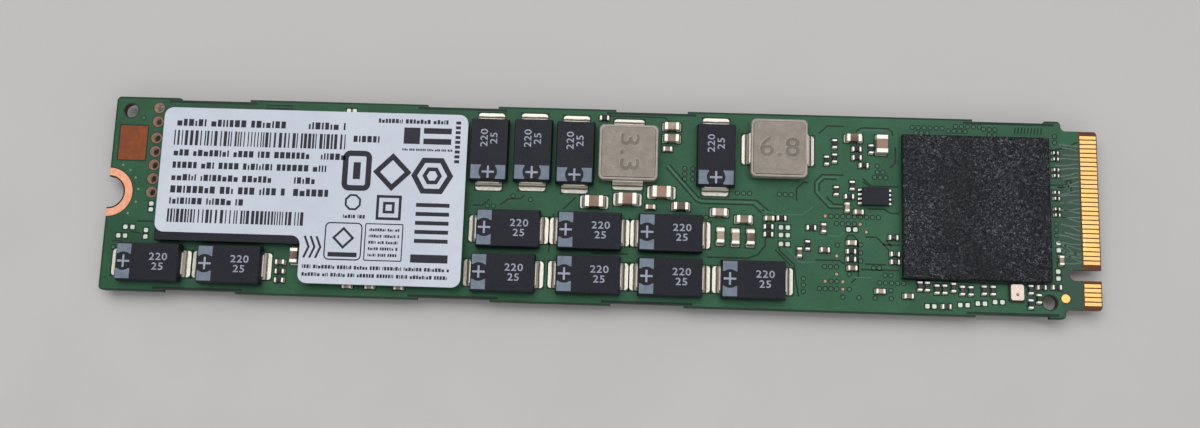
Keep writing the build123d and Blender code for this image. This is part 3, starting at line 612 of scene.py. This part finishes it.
# Track and pour edges on the upper face, in millimetres from the notch
GROOVES = (
    ((54.8, 10.26), (62.0, 10.26), (62.6, 9.75)),
    ((62.3, 4.6), (65.7, 0.86), (66.3, 0.62), (72.0, 0.62), (73.0, -0.3)),
    ((62.7, 4.9), (66.0, 1.28), (66.5, 1.15), (72.4, 1.15), (74.1, -0.3)),
    ((67.0, -5.35), (71.5, -5.35), (72.6, -4.9), (73.4, -3.9), (73.4, -3.1)),
    ((74.9, -4.0), (75.0, -4.4), (76.6, -5.9), (76.8, -7.8), (77.1, -9.4)),
    ((83.55, -3.0), (83.6, -6.9), (82.85, -7.7)), ((82.2, -2.9), (82.5, -2.45), (83.0, -2.45), (83.5, -2.95)),
    ((86.3, -3.3), (86.9, -4.0)), ((86.6, -2.9), (87.2, -3.6)),
    ((74.5, -4.3), (76.2, -6.0)),
    ((82.0, 4.25), (79.6, 4.25), (78.8, 3.4), (78.8, 2.2), (80.4, 0.5), (81.9, 0.5)),
    ((81.2, 3.75), (79.8, 3.75), (79.3, 3.2), (79.3, 2.4)),
    ((80.2, 1.85), (80.2, 1.6), (80.9, 0.95), (81.9, 0.95)),
    ((83.3, 9.25), (84.0, 9.7), (86.9, 9.67), (87.4, 9.3), (87.4, 8.9)),
    ((84.1, 3.95), (85.05, 3.1), (88.0, 3.1)),
    ((84.1, 3.6), (84.95, 2.95)),
    ((46.7, 0.95), (46.3, 0.6), (44.9, 0.5), (44.0, -0.2)),
    ((41.0, -0.3), (42.0, -0.3), (42.8, 0.4)),
    ((51.0, -0.5), (52.4, 0.9)),
    ((76.8, 1.2), (76.8, 2.6), (77.6, 3.3), (78.1, 3.3)),
    ((79.2, 8.9), (80.2, 9.8), (82.0, 9.8)),
    ((84.6, 0.55), (86.4, 0.55), (87.2, 0.1), (88.1, 0.1)),
    ((84.4, -2.6), (85.6, -2.6), (86.4, -3.4), (88.1, -3.4)),
    ((78.9, -5.3), (81.6, -5.3), (82.1, -5.7)),
    ((83.9, -6.2), (88.0, -6.2)),
    ((84.3, -5.6), (86.6, -5.6)),
    ((6.0, -4.95), (6.0, -5.45)),
    ((87.1, 5.2), (87.7, 5.8), (87.7, 7.6)),
    ((104.4, 7.75), (105.05, 7.75), (106.66, 8.05), (107.33, 8.5), (107.85, 8.7)),
    ((17.0, 10.08), (20.1, 10.08)), ((17.0, 10.42), (20.1, 10.42)),
    ((104.6, 3.8), (106.45, 3.8), (106.45, 4.35), (106.95, 4.35), (106.95, 2.75)),
    ((88.2, -7.1), (103.8, -7.45)), ((54.3, -5.3), (58.4, -5.3)), ((49.6, -5.35), (50.0, -1.0)),
    ((3.6, -3.2), (5.6, -3.2)), ((1.0, -5.5), (2.2, -5.5)), ((3.0, -4.4), (4.2, -4.6)),
)
GROOVE_WIDTH = 0.18
# A hatched corner of the pour, in millimetres from the notch
HATCH_X = (100.9, 103.9)
HATCH_Y = (9.5, 10.2)
HATCH_STEP = 0.36
HATCH_LEAN = 0.1
HATCH_WIDTH = 0.15
# Tracks that stand up, in millimetres from the notch
TRACK_WIDTH = 0.14
TRACKS = (
    ((62.5, 4.75), (65.85, 1.0), (66.4, 0.88), (72.2, 0.88), (73.5, -0.3)),
    ((81.5, 4.0), (79.75, 4.0), (79.05, 3.3), (79.05, 2.3), (80.5, 0.73), (81.9, 0.73)),
    ((83.5, 9.05), (84.1, 9.45), (86.7, 9.45)),
    ((75.9, -4.2), (77.2, -5.6), (79.0, -5.6)),
    ((72.9, 0.1), (74.6, -0.35), (77.4, -0.35), (78.6, 0.6)),
    ((83.2, -7.1), (85.0, -7.1)),
    ((80.3, -2.6), (81.5, -2.6), (82.0, -2.2)),
    ((104.7, 3.55), (106.7, 3.55)), ((106.7, 4.15), (106.7, 2.95)),
    ((104.9, -2.4), (105.9, -2.7), (106.8, -3.6), (107.9, -4.1)),
    ((104.9, -2.9), (105.7, -3.2), (106.5, -4.1), (107.9, -4.7)),
)
# Rows of vias, in millimetres: x, y, step in x, step in y, count
VIA_ROWS = (
    (80.6, -0.4, 0.65, 0, 9), (81.2, -1.2, 0.65, 0, 4), (83.83, -3.5, 0, -0.88, 3),
    (81.3, -3.6, 0, 0, 1), (79.9, -6.0, 0.65, 0, 3), (85.27, -6.0, 0.6, 0, 2),
    (82.6, -6.76, 0, 0, 1), (86.5, -6.76, 0.62, 0, 2), (80.6, -7.6, 0.65, 0, 2),
    (85.9, -7.6, 0.65, 0, 5), (79.36, -8.43, 0.62, 0, 4), (82.6, -8.43, 0, 0, 1),
    (87.1, -8.43, 0, 0, 1), (81.9, -9.3, 1.75, 0, 4), (64.4, 3.3, 0.9, 0, 2),
    (64.4, 3.9, 0.9, 0, 2), (64.4, 4.5, 0.9, 0, 2), (85.4, 4.1, 0.62, 0, 3),
    (85.7, 4.7, 0.62, 0, 2), (89.6, 9.9, 0.66, 0, 6), (94.4, 10.15, 0.66, 0, 5),
    (45.4, 0.85, 0, 0, 1), (47.4, 0.5, 0, 0, 1), (85.7, 5.4, 0, 0, 1),
    (66.2, -0.95, 0.66, 0, 2), (70.3, 1.9, 0.66, 0, 3), (42.6, -0.35, 0.66, 0, 2),
    (77.6, -7.4, 0, -0.7, 3), (105.3, 9.3, 0, -0.7, 2), (105.2, -0.5, 0, -0.66, 3),
    (1.2, -6.2, 0.7, 0, 1), (3.2, 8.6, 0, 0, 1), (74.9, 1.9, 0.66, 0, 3),
    (90.0, 9.3, 0.62, 0, 3), (93.6, 9.6, 0.62, 0, 4), (97.5, 9.9, 0.62, 0, 3),
    (98.1, 9.3, 0.62, 0, 2),
)
VIA_R = 0.18 * MM
VIA_BORE_R = 0.07 * MM
VIA_GAP = 0.13 * MM
RELIEF = 0.012 * MM
GAP_LEVELS = (BOARD_TOP - RELIEF, BOARD_TOP + LIFT)
RIB_LEVELS = (BOARD_TOP - RELIEF, BOARD_TOP + RELIEF)
# Small filled vias round the mounting ring: angles in degrees, then their circle, size and sides
STITCH_ANGLES = (-44, -18, 7, 30, 48, 66)
STITCH_RADIUS = 3.4 * MM
STITCH_R = 0.13 * MM
STITCH_SIDES = 15
# The gap round the ring at the notch, in millimetres: start and end in degrees, and steps
RING_OUTER = 2.75
RING_GAP = 0.10
RING_ARC = (-89, 89, 30)
# Where the copper is pulled back from the tabs on the long edges, in millimetres
PULLBACK_MIDS = (11.0, 39.3, 60.55, 100.25)
PULLBACK_LENGTH = 10.0
PULLBACK_WIDTH = 0.28
PULLBACK_INSET = 0.27
# Clearance of the mask round each kind of bare metal, in millimetres
BARE_MARGINS = (("probe_hole_barrels", 0.09), ("test_points", 0.08), ("fiducial_marks", 0.10))
TOOLING_MARGIN = 0.12
TOOLING_GAP = 0.01
PATCH_MARGIN = 0.15
LAND_MARGIN = 0.14 * MM
ROUND_STEPS = 28
# The fan of tracks at the contacts, in millimetres; the sway turns in radians from pair to pair
FAN_LIMITS = (-5.0, 8.3)
FAN_SPLIT = 0.14
FAN_SWAY = 0.42
FAN_SWAY_TURN = 0.55
FAN_REACH = 1.8
FAN_REACH_STEP = 0.4
FAN_START = 0.1
FAN_STEPS = 10
FAN_WIDTH = 0.13


def add_grooves():
    """Gaps between copper areas, which read as dark lines under the mask."""
    mesh = bmesh.new()
    for path in GROOVES:
        ribbon(mesh, scaled(path), GROOVE_WIDTH * MM, *GAP_LEVELS)
    half = PULLBACK_WIDTH / 2 * MM
    side_y = BOARD_BOX[1].y - PULLBACK_INSET * MM - half
    for middle in PULLBACK_MIDS:
        low_x = (middle - PULLBACK_LENGTH / 2) * MM
        high_x = (middle + PULLBACK_LENGTH / 2) * MM
        for y in (side_y, -side_y):
            slab(mesh, low_x, y - half, high_x, y + half, *GAP_LEVELS)
            slab(mesh, low_x, y - half, high_x, y + half, BOARD_LOW - LIFT, BOARD_LOW + RELIEF)
    hatch_count = int((HATCH_X[1] - HATCH_X[0]) / HATCH_STEP) + 1
    for number in range(hatch_count):
        x = HATCH_X[0] + HATCH_STEP * number
        path = scaled([(x, HATCH_Y[0]), (x + HATCH_LEAN, HATCH_Y[1])])
        ribbon(mesh, path, HATCH_WIDTH * MM, *GAP_LEVELS)
    piece("track_gaps", mesh, "mask_dark")


def add_tracks():
    """Tracks that stand up under the mask."""
    mesh = bmesh.new()
    for path in TRACKS:
        ribbon(mesh, scaled(path), TRACK_WIDTH * MM, *RIB_LEVELS)
    piece("raised_tracks", mesh, "mask_rib")


def fan_path(number, y):
    """The path of one fan track, which joins its neighbour as a pair and then sways."""
    pair = number // 2
    toward = FAN_SPLIT * MM * (1 if number % 2 else -1)
    sway = FAN_SWAY * MM * math.sin(pair * FAN_SWAY_TURN)
    reach = (FAN_REACH + FAN_REACH_STEP * (pair % 3)) * MM
    path = [(MASK_END - FAN_START * MM, y)]
    for step in range(1, FAN_STEPS + 1):
        along = step / FAN_STEPS
        ease = along * along * (3 - 2 * along)
        path.append((MASK_END - reach * along, y + toward * min(1.0, 2 * ease) + sway * ease))
    return path


def add_contact_fan():
    """Short tracks that leave the contacts and bend towards the coupling capacitors."""
    for side, name, face, out in (("upper", "edge_contacts_top", BOARD_TOP, 1),
                                  ("lower", "edge_contacts_bottom", BOARD_LOW, -1)):
        mesh = bmesh.new()
        rows = [(low.y + high.y) / 2 for low, high in solids(name)]
        rows = [y for y in rows if FAN_LIMITS[0] * MM < y < FAN_LIMITS[1] * MM]
        for number, y in enumerate(rows):
            ribbon(mesh, fan_path(number, y), FAN_WIDTH * MM, face - out * RELIEF, face + out * RELIEF)
        piece(f"contact_fan_{side}", mesh, "mask_grey")


def add_vias():
    """Tented vias: a raised collar round a dimple filled with mask."""
    spots = []
    for x, y, step_x, step_y, count in VIA_ROWS:
        spots += [((x + step_x * i) * MM, (y + step_y * i) * MM) for i in range(count)]
    collars = bmesh.new()
    rims = bmesh.new()
    for x, y in spots:
        washer(collars, x, y, VIA_R, VIA_BORE_R, *RIB_LEVELS)
        washer(rims, x, y, VIA_R + VIA_GAP, VIA_R, *GAP_LEVELS)
        washer(collars, x, y, VIA_R, VIA_BORE_R, BOARD_LOW - RELIEF, BOARD_LOW + RELIEF)
    piece("via_collars", collars, "mask_rib")
    piece("via_clearances", rims, "mask_dark")


def add_stitching():
    """Small filled vias in an arc outside the mounting ring, on both faces."""
    mesh = bmesh.new()
    for angle in STITCH_ANGLES:
        turn = math.radians(angle)
        x, y = STITCH_RADIUS * math.cos(turn), STITCH_RADIUS * math.sin(turn)
        disc = arc_points(x, y, STITCH_R, 0, 360 - 360 / STITCH_SIDES, STITCH_SIDES - 1)
        prism(mesh, disc, *GAP_LEVELS)
        prism(mesh, disc, BOARD_LOW - LIFT, BOARD_LOW + RELIEF)
    piece("notch_stitching_vias", mesh, "stitch")


def add_bare_outlines():
    """The dark clearance round every hole, test point and fiducial, the ring and the patch."""
    mesh = bmesh.new()
    low, high = GAP_LEVELS
    for name, margin in BARE_MARGINS:
        for corner, far in solids(name):
            if far.z > BOARD_TOP / 2:
                x, y = (corner.x + far.x) / 2, (corner.y + far.y) / 2
                radius = (far.x - corner.x) / 2
                washer(mesh, x, y, radius + margin * MM, radius, low, high, ROUND_STEPS)
    for mount in frame["record"]["mounts"]:
        if mount["kind"] == "bore":
            x, y = mount["pos_m"][:2]
            radius = mount["dims"]["r_mm"]
            outer, inner = (radius + TOOLING_MARGIN) * MM, (radius + TOOLING_GAP) * MM
            washer(mesh, x, y, outer, inner, low, high, ROUND_STEPS)
    ring = scaled(arc_points(0, 0, RING_OUTER + RING_GAP / 2, *RING_ARC))
    ribbon(mesh, ring, RING_GAP * MM, low, high)
    corner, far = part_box("marking_patch")
    half = PATCH_MARGIN / 2 * MM
    ribbon(mesh, box_path(corner, far, half), 2 * half, low, high, closed=True)
    piece("bare_metal_clearances", mesh, "mask_dark")


def add_land_frames():
    """The dark mask clearance that frames every solder land."""
    mesh = bmesh.new()
    half = LAND_MARGIN / 2
    for low, high in solids("solder_lands_top"):
        ribbon(mesh, box_path(low, high, half), LAND_MARGIN, *GAP_LEVELS, closed=True)
    piece("land_clearances", mesh, "mask_dark")


# ---- Prints on the parts ----


# Print on a capacitor, in metres: brackets at its positive end, a plus sign and numerals
MARK_INSET = 0.20 * MM
BRACKET_LENGTH = 1.56 * MM
BRACKET_MARGIN = 0.24 * MM
BRACKET_INNER = 0.80 * MM
BITE_RADIUS = 1.02 * MM
BITE_TURN = 51.7
PLUS_ARM = 0.68 * MM
PLUS_HALF = 0.11 * MM
CAPACITOR_NUMERAL = 1.12 * MM
CAPACITOR_WEIGHT = 0.012 * MM
NUMERAL_AT = 4.6 * MM


def capacitor_places():
    """Each capacitor's middle, turn away from its positive lead, length, width and top."""
    leads = [(low + high) / 2 for low, high in solids("holdup_capacitor_positive_leads")]
    places = []
    for low, high in solids("holdup_capacitor_cases"):
        middle = (low + high) / 2
        lead = min(leads, key=lambda at: (at.xy - middle.xy).length)
        turn = math.atan2(middle.y - lead.y, middle.x - lead.x)
        turn = round(turn / (math.pi / 2)) * math.pi / 2
        width, length = sorted((high.x - low.x, high.y - low.y))
        places.append((middle, turn, length, width, high.z))
    return places


def turned(points, middle, turn):
    """Points along and across a part, from its middle, as points on the board."""
    return [(middle.x + x * math.cos(turn) - y * math.sin(turn),
             middle.y + x * math.sin(turn) + y * math.cos(turn)) for x, y in points]


def bracket_outline(start, width, side):
    """A bracket beside the plus sign, with a round bite out of its inner edge."""
    outer_y = side * (width / 2 - BRACKET_MARGIN)
    inner_y = side * BRACKET_INNER
    bite = arc_points(start + BRACKET_LENGTH / 2, 0, BITE_RADIUS, side * (180 - BITE_TURN),
                      side * BITE_TURN, 8)
    end = start + BRACKET_LENGTH
    return [(start, outer_y), (start, inner_y), *bite, (end, inner_y), (end, outer_y)]


def plus_outline(x):
    """A plus sign centred on (x, 0)."""
    quarter = [(PLUS_ARM, -PLUS_HALF), (PLUS_ARM, PLUS_HALF), (PLUS_HALF, PLUS_HALF)]
    points = []
    for _ in range(4):
        points += quarter
        quarter = [(-v, u) for u, v in quarter]
    return [(x + u, v) for u, v in points]


def capacitor_marks():
    """Polarity brackets, a plus sign and plain value numerals on each capacitor."""
    brackets = bmesh.new()
    text = bmesh.new()
    for middle, turn, length, width, top in capacitor_places():
        low, high = top - LIFT, top + INK
        start = MARK_INSET - length / 2
        for side in (1, -1):
            prism(brackets, turned(bracket_outline(start, width, side), middle, turn), low, high)
        prism(text, turned(plus_outline(start + BRACKET_LENGTH / 2), middle, turn), low, high)
        x, y = turned([(start + NUMERAL_AT, 0)], middle, turn)[0]
        place = (x, y, math.degrees(turn))
        numerals(text, "220\n25", CAPACITOR_NUMERAL, place, low, high, CAPACITOR_WEIGHT)
    piece("capacitor_polarity_marks", brackets, "mark")
    piece("capacitor_value_numerals", text, "numeral")


# Numerals of the inductors, darkened as painted shade with a pale copy as painted highlight, and their
# pressed flanges with a band of painted shade along the step
INDUCTOR_VALUES = (("3.3", -90), ("6.8", 0))
INDUCTOR_NUMERAL = 3.0 * MM
INDUCTOR_WEIGHT = 0.03 * MM
PAINTED_HIGHLIGHT_SHIFT = 0.06 * MM
FLANGE_DROP = 0.12 * MM
FLANGE_INSET = 0.17
FLANGE_WIDTH = 0.14
STEP_SHADE_INSET = 0.27
STEP_SHADE_WIDTH = 0.06
FLANGE_CORNER = 0.45


def inductor_marks():
    """A plain value numeral pressed on the top of each inductor, darkened as painted shade, with a pale copy
    shifted up and left as a painted highlight on one edge.
    """
    mesh = bmesh.new()
    painted_highlight_copy = bmesh.new()
    for (low, high), (value, turn) in zip(solids("inductor_cores"), INDUCTOR_VALUES):
        middle = (low + high) / 2
        base = high.z - LIFT
        place = (middle.x, middle.y, turn)
        numerals(mesh, value, INDUCTOR_NUMERAL, place, base, high.z + 4 * INK, INDUCTOR_WEIGHT)
        # Painted highlight: a pale copy of each numeral, shifted up and left.
        lit = (middle.x - PAINTED_HIGHLIGHT_SHIFT, middle.y + PAINTED_HIGHLIGHT_SHIFT, turn)
        numerals(painted_highlight_copy, value, INDUCTOR_NUMERAL, lit, base, high.z + 3 * INK, INDUCTOR_WEIGHT)
    piece("inductor_value_numerals", mesh, "numeral_painted_shade")
    piece("inductor_numeral_painted_highlights", painted_highlight_copy, "pale_rim_and_painted_highlight")


def inductor_rims():
    """The pale flange left by the press round each inductor's top, and a dark band of painted shade inside it
    along the step.
    """
    flange = bmesh.new()
    step_painted_shade = bmesh.new()
    for low, high in solids("inductor_cores"):
        level = high.z - FLANGE_DROP
        x0, y0, x1, y1 = (edge / MM for edge in (low.x, low.y, high.x, high.y))
        # The second ribbon is painted shade along the step inside the flange.
        for mesh, inset, width in ((flange, FLANGE_INSET, FLANGE_WIDTH), (step_painted_shade, STEP_SHADE_INSET, STEP_SHADE_WIDTH)):
            path = rounded_outline(x0 + inset, y0 + inset, x1 - inset, y1 - inset, FLANGE_CORNER)
            ribbon(mesh, path, width * MM, level - LIFT, level + INK, closed=True)
    piece("inductor_pressed_flanges", flange, "pale_rim_and_painted_highlight")
    piece("inductor_step_painted_shades", step_painted_shade, "step_painted_shade")


# Dummy print on the label, in millimetres from the notch: rows of small blocks, x0, x1, y0, y1
TEXT_ROWS = (
    (7.6, 20.4, 7.4, 8.4), (22.4, 26.9, 7.4, 8.4), (27.5, 30.8, 6.1, 7.0), (7.5, 22.9, 4.0, 4.9),
    (24.0, 26.6, 4.0, 4.9), (7.5, 25.0, 2.6, 3.5), (7.5, 18.8, 1.2, 2.1), (21.2, 23.5, 1.2, 2.1),
    (7.5, 20.3, -0.2, 0.8), (21.2, 25.8, -0.2, 0.8), (7.5, 15.9, -1.45, -0.55),
    (30.2, 38.5, 8.4, 9.0), (33.0, 38.5, 5.35, 5.65), (22.8, 38.9, -8.1, -7.6),
    (22.8, 38.9, -8.95, -8.45), (26.9, 29.4, -2.45, -1.95),
)
FRAMED_ROWS = tuple((29.9, 33.2, y - 0.2, y + 0.2) for y in (-3.6, -4.3, -5.0, -5.7, -6.4))
STRIPE_FIELDS = ((7.4, 26.5, 5.3, 7.0), (7.4, 22.3, -3.4, -1.9))
# Blocks in a row, as shares of its height, and the number of blocks in a group
BLOCK_WIDTHS = (0.2, 0.42, 0.5, 0.55)
BLOCK_DROPS = (0.1, 0.1, 0.1, 0.3)
BLOCK_FOOT = 0.1
BLOCK_GAP = 0.17
BLOCK_LEAST = 0.3
GROUP_GAP = 0.4
GROUP_SIZE = (3, 8)
STRIPE_WIDTHS = (0.12, 0.14, 0.22, 0.34)
STRIPE_GAPS = (0.13, 0.15, 0.24, 0.34)
# Rounded frames: x0, y0, x1, y1, corner radius, line width
LABEL_FRAMES = (
    (26.8, 1.0, 29.4, 4.9, 0.5, 0.62), (25.1, -7.0, 29.1, -2.95, 0.5, 0.14),
    (29.5, -7.0, 33.6, -2.95, 0.1, 0.12),
)
# Regular outlines: x, y, radius, sides, turn in degrees, line width
LABEL_POLYGONS = (
    (32.05, 2.9, 1.75, 4, 0, 0.56), (36.5, 2.6, 2.0, 6, 0, 0.58), (36.5, 2.6, 0.85, 6, 0, 0.42),
    (27.9, -0.6, 0.85, 8, 22.5, 0.22), (31.9, -1.1, 1.75, 4, 45, 0.3), (31.9, -1.1, 0.7, 4, 45, 0.3),
    (27.1, -4.6, 1.05, 4, 0, 0.26),
)
# Bars: x0, y0, x1, y1, step in y, count
LABEL_BARS = (
    (27.7, 2.0, 28.5, 3.9, 0, 1), (34.6, -7.1, 38.7, -6.2, 0, 1), (25.5, -6.7, 28.7, -6.2, 0, 1),
    (33.1, 6.15, 34.9, 8.0, 0, 1), (35.3, 7.35, 38.4, 8.0, 0, 1), (35.3, 6.15, 38.4, 6.8, 0, 1),
    (34.9, -4.92, 38.6, -4.48, 1.0, 5), (38.85, 4.1, 39.4, 4.44, 0.55, 9),
)
CHEVRON = ((22.85, -6.9), (23.35, -5.7), (22.85, -4.5))
CHEVRON_STEP = 0.65
CHEVRON_WIDTH = 0.24
PRINT_SEED = 11


def add_block_row(mesh, row, level, rng):
    """One line of dummy print: plain blocks in groups, like words seen from afar."""
    x, x1, y0, y1 = row
    tall = y1 - y0
    left_in_group = rng.randint(*GROUP_SIZE)
    while x < x1 - BLOCK_LEAST * tall:
        wide = tall * rng.choice(BLOCK_WIDTHS)
        high_y = y1 - tall * rng.choice(BLOCK_DROPS)
        low_y = y0 + tall * BLOCK_FOOT
        slab(mesh, x * MM, low_y * MM, (x + wide) * MM, high_y * MM, level - LIFT, level + INK)
        x += wide + tall * BLOCK_GAP
        left_in_group -= 1
        if left_in_group == 0:
            x += tall * GROUP_GAP
            left_in_group = rng.randint(*GROUP_SIZE)


def add_stripes(mesh, field, level, rng):
    """A field of plain upright stripes with irregular widths."""
    x, x1, y0, y1 = field
    while x < x1:
        wide = rng.choice(STRIPE_WIDTHS)
        slab(mesh, x * MM, y0 * MM, (x + wide) * MM, y1 * MM, level - LIFT, level + INK)
        x += wide + rng.choice(STRIPE_GAPS)


def add_label_shapes(mesh, low, high):
    """Plain frames, outlines, bars and chevrons, which stand for the marks on a label."""
    for *corners, radius, width in LABEL_FRAMES:
        ribbon(mesh, rounded_outline(*corners, radius), width * MM, low, high, closed=True)
    for *shape, width in LABEL_POLYGONS:
        ribbon(mesh, polygon(*shape), width * MM, low, high, closed=True)
    for x0, y0, x1, y1, step, count in LABEL_BARS:
        for number in range(count):
            up = step * number
            slab(mesh, x0 * MM, (y0 + up) * MM, x1 * MM, (y1 + up) * MM, low, high)
    for number in range(3):
        path = scaled([(x + CHEVRON_STEP * number, y) for x, y in CHEVRON])
        ribbon(mesh, path, CHEVRON_WIDTH * MM, low, high)


def label_print():
    """Dummy print: block rows, stripes and plain shapes, with no words, codes or real marks."""
    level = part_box("product_label")[1].z
    rng = random.Random(PRINT_SEED)
    mesh = bmesh.new()
    for row in TEXT_ROWS:
        add_block_row(mesh, row, level, rng)
    for field in STRIPE_FIELDS:
        add_stripes(mesh, field, level, rng)
    piece("label_dummy_rows", mesh, "ink")
    mesh = bmesh.new()
    add_label_shapes(mesh, level - LIFT, level + INK)
    for row in FRAMED_ROWS:
        add_block_row(mesh, row, level, rng)
    piece("label_dummy_shapes", mesh, "ink")


# Pin-one marks: node, x and y from its low corner (if negative, from the high one), outer and
# inner radius, in millimetres, and the steps of the circle
PIN_ONE_DOTS = (
    ("eight_pin_chip_body", 0.4, -0.4, 0.10, 0.02, 16),
    ("clock_oscillator_lid", 0.69, 0.62, 0.16, 0.06, 16),
    ("controller_mould", 1.1, 1.1, 0.42, 0.34, ROUND_STEPS),
)


def chip_dots():
    """The small pin-one rings on the tops of the chips."""
    mesh = bmesh.new()
    for name, x, y, outer, inner, steps in PIN_ONE_DOTS:
        low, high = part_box(name)
        at_x = x * MM + (low.x if x > 0 else high.x)
        at_y = y * MM + (low.y if y > 0 else high.y)
        washer(mesh, at_x, at_y, outer * MM, inner * MM, high.z - LIFT, high.z + INK, steps)
    piece("pin_one_dots", mesh, "tub")


# ---- Crinkled controller top ----


CRINKLE_GRID = 150
CRINKLE_INSET = 0.06 * MM
CRINKLE_HEIGHT = 0.012 * MM
CRINKLE_SCALE = 0.36 * MM
CRINKLE_DEPTH = 0.10 * MM
CRINKLE_SKIN = 0.04 * MM


def crinkled_package_top():
    """A thin skin on the controller with the crinkle of a frosted moulding."""
    low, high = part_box("controller_mould")
    mesh = bmesh.new()
    bmesh.ops.create_grid(mesh, x_segments=CRINKLE_GRID, y_segments=CRINKLE_GRID, size=0.5)
    for vert in mesh.verts:
        vert.co.x = low.x + CRINKLE_INSET + (vert.co.x + 0.5) * (high.x - low.x - 2 * CRINKLE_INSET)
        vert.co.y = low.y + CRINKLE_INSET + (vert.co.y + 0.5) * (high.y - low.y - 2 * CRINKLE_INSET)
        vert.co.z = high.z + CRINKLE_HEIGHT
    thing = piece("controller_crinkled_skin", mesh, "package", smooth=True)
    texture = bpy.data.textures.new("crinkle", "CLOUDS")
    texture.noise_scale = CRINKLE_SCALE
    texture.noise_depth = 2
    push = thing.modifiers.new("crinkle", "DISPLACE")
    push.texture = texture
    push.texture_coords = "OBJECT"
    push.direction = "Z"
    push.strength = CRINKLE_DEPTH
    push.mid_level = 0.5
    shell = thing.modifiers.new("skin", "SOLIDIFY")
    shell.thickness = CRINKLE_SKIN
    shell.offset = -1


# ---- Stage ----

# The camera, in millimetres and degrees, and its focal length as a share of the sensor's width
CAMERA_AT = (58.4, -22.3, 130.0)
CAMERA_AZIMUTH = -8.66
CAMERA_ELEVATION = 80.49
CAMERA_ROLL = -6.87
FOCAL_SHARE = 0.9863
SENSOR_WIDTH = 36.0
FLOOR_HALF = 1.5
FLOOR_GAP = 0.05 * MM
SKY_COLOR = (0.93, 0.96, 1.0, 1.0)
SKY_STRENGTH = 0.46


def make_camera():
    """The camera above the drive, a little in front of it and turned about its own axis."""
    data = bpy.data.cameras.new("camera")
    data.sensor_fit = "HORIZONTAL"
    data.sensor_width = SENSOR_WIDTH
    data.lens = FOCAL_SHARE * data.sensor_width
    data.clip_start = MM
    camera = bpy.data.objects.new("camera", data)
    bpy.context.scene.collection.objects.link(camera)
    azimuth, elevation, roll = (math.radians(v) for v in (CAMERA_AZIMUTH, CAMERA_ELEVATION, CAMERA_ROLL))
    ahead = Vector((math.sin(azimuth) * math.cos(elevation), math.cos(azimuth) * math.cos(elevation),
                    -math.sin(elevation)))
    right = ahead.cross(Vector((0, 0, 1))).normalized()
    up = right.cross(ahead)
    right, up = right * math.cos(roll) + up * math.sin(roll), up * math.cos(roll) - right * math.sin(roll)
    turn = Matrix((right, up, -ahead)).transposed().to_4x4()
    camera.matrix_world = Matrix.Translation(Vector(CAMERA_AT) * MM) @ turn
    bpy.context.scene.camera = camera


def make_light(name, place, size, power, aim):
    """A soft rectangular lamp aimed at a point."""
    data = bpy.data.lights.new(name, "AREA")
    data.shape = "RECTANGLE"
    data.size, data.size_y = size
    data.energy = power
    lamp = bpy.data.objects.new(name, data)
    bpy.context.scene.collection.objects.link(lamp)
    lamp.location = place
    lamp.rotation_mode = "QUATERNION"
    lamp.rotation_quaternion = (Vector(aim) - Vector(place)).to_track_quat("-Z", "Y")


def make_stage():
    """A plain pale floor, four soft lamps and even surroundings."""
    low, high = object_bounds()
    mesh = bmesh.new()
    bmesh.ops.create_grid(mesh, x_segments=1, y_segments=1, size=FLOOR_HALF)
    data = bpy.data.meshes.new("floor")
    mesh.to_mesh(data)
    mesh.free()
    floor = bpy.data.objects.new("floor", data)
    floor.location.z = low.z - FLOOR_GAP
    data.materials.append(grained("pale_floor", srgb(193, 190, 187), srgb(200, 197, 194), 60, (0.7, 0.8)))
    bpy.context.scene.collection.objects.link(floor)
    middle = (low + high) / 2
    make_light("overhead", (middle.x - 0.10, 0.20, 0.42), (0.45, 0.30), 1.15, middle)
    make_light("front_fill", (middle.x + 0.15, -0.40, 0.30), (0.50, 0.30), 0.30, middle)
    make_light("contact_panel", (0.300, 0.07, 0.42), (0.12, 0.24), 0.12, (high.x, 0, high.z))
    make_light("glint_lamp", (0.21, 0.07, 0.42), (0.03, 0.03), 0.15, (high.x, 0, high.z))
    world = bpy.data.worlds.new("surroundings")
    world.use_nodes = True
    background = world.node_tree.nodes["Background"]
    background.inputs["Color"].default_value = SKY_COLOR
    background.inputs["Strength"].default_value = SKY_STRENGTH
    bpy.context.scene.world = world
    bpy.context.scene.view_settings.view_transform = "Standard"


dress_frame()
add_grooves()
add_tracks()
add_contact_fan()
add_vias()
add_stitching()
add_bare_outlines()
add_land_frames()
capacitor_marks()
inductor_marks()
inductor_rims()
label_print()
chip_dots()
crinkled_package_top()
make_camera()
make_stage()
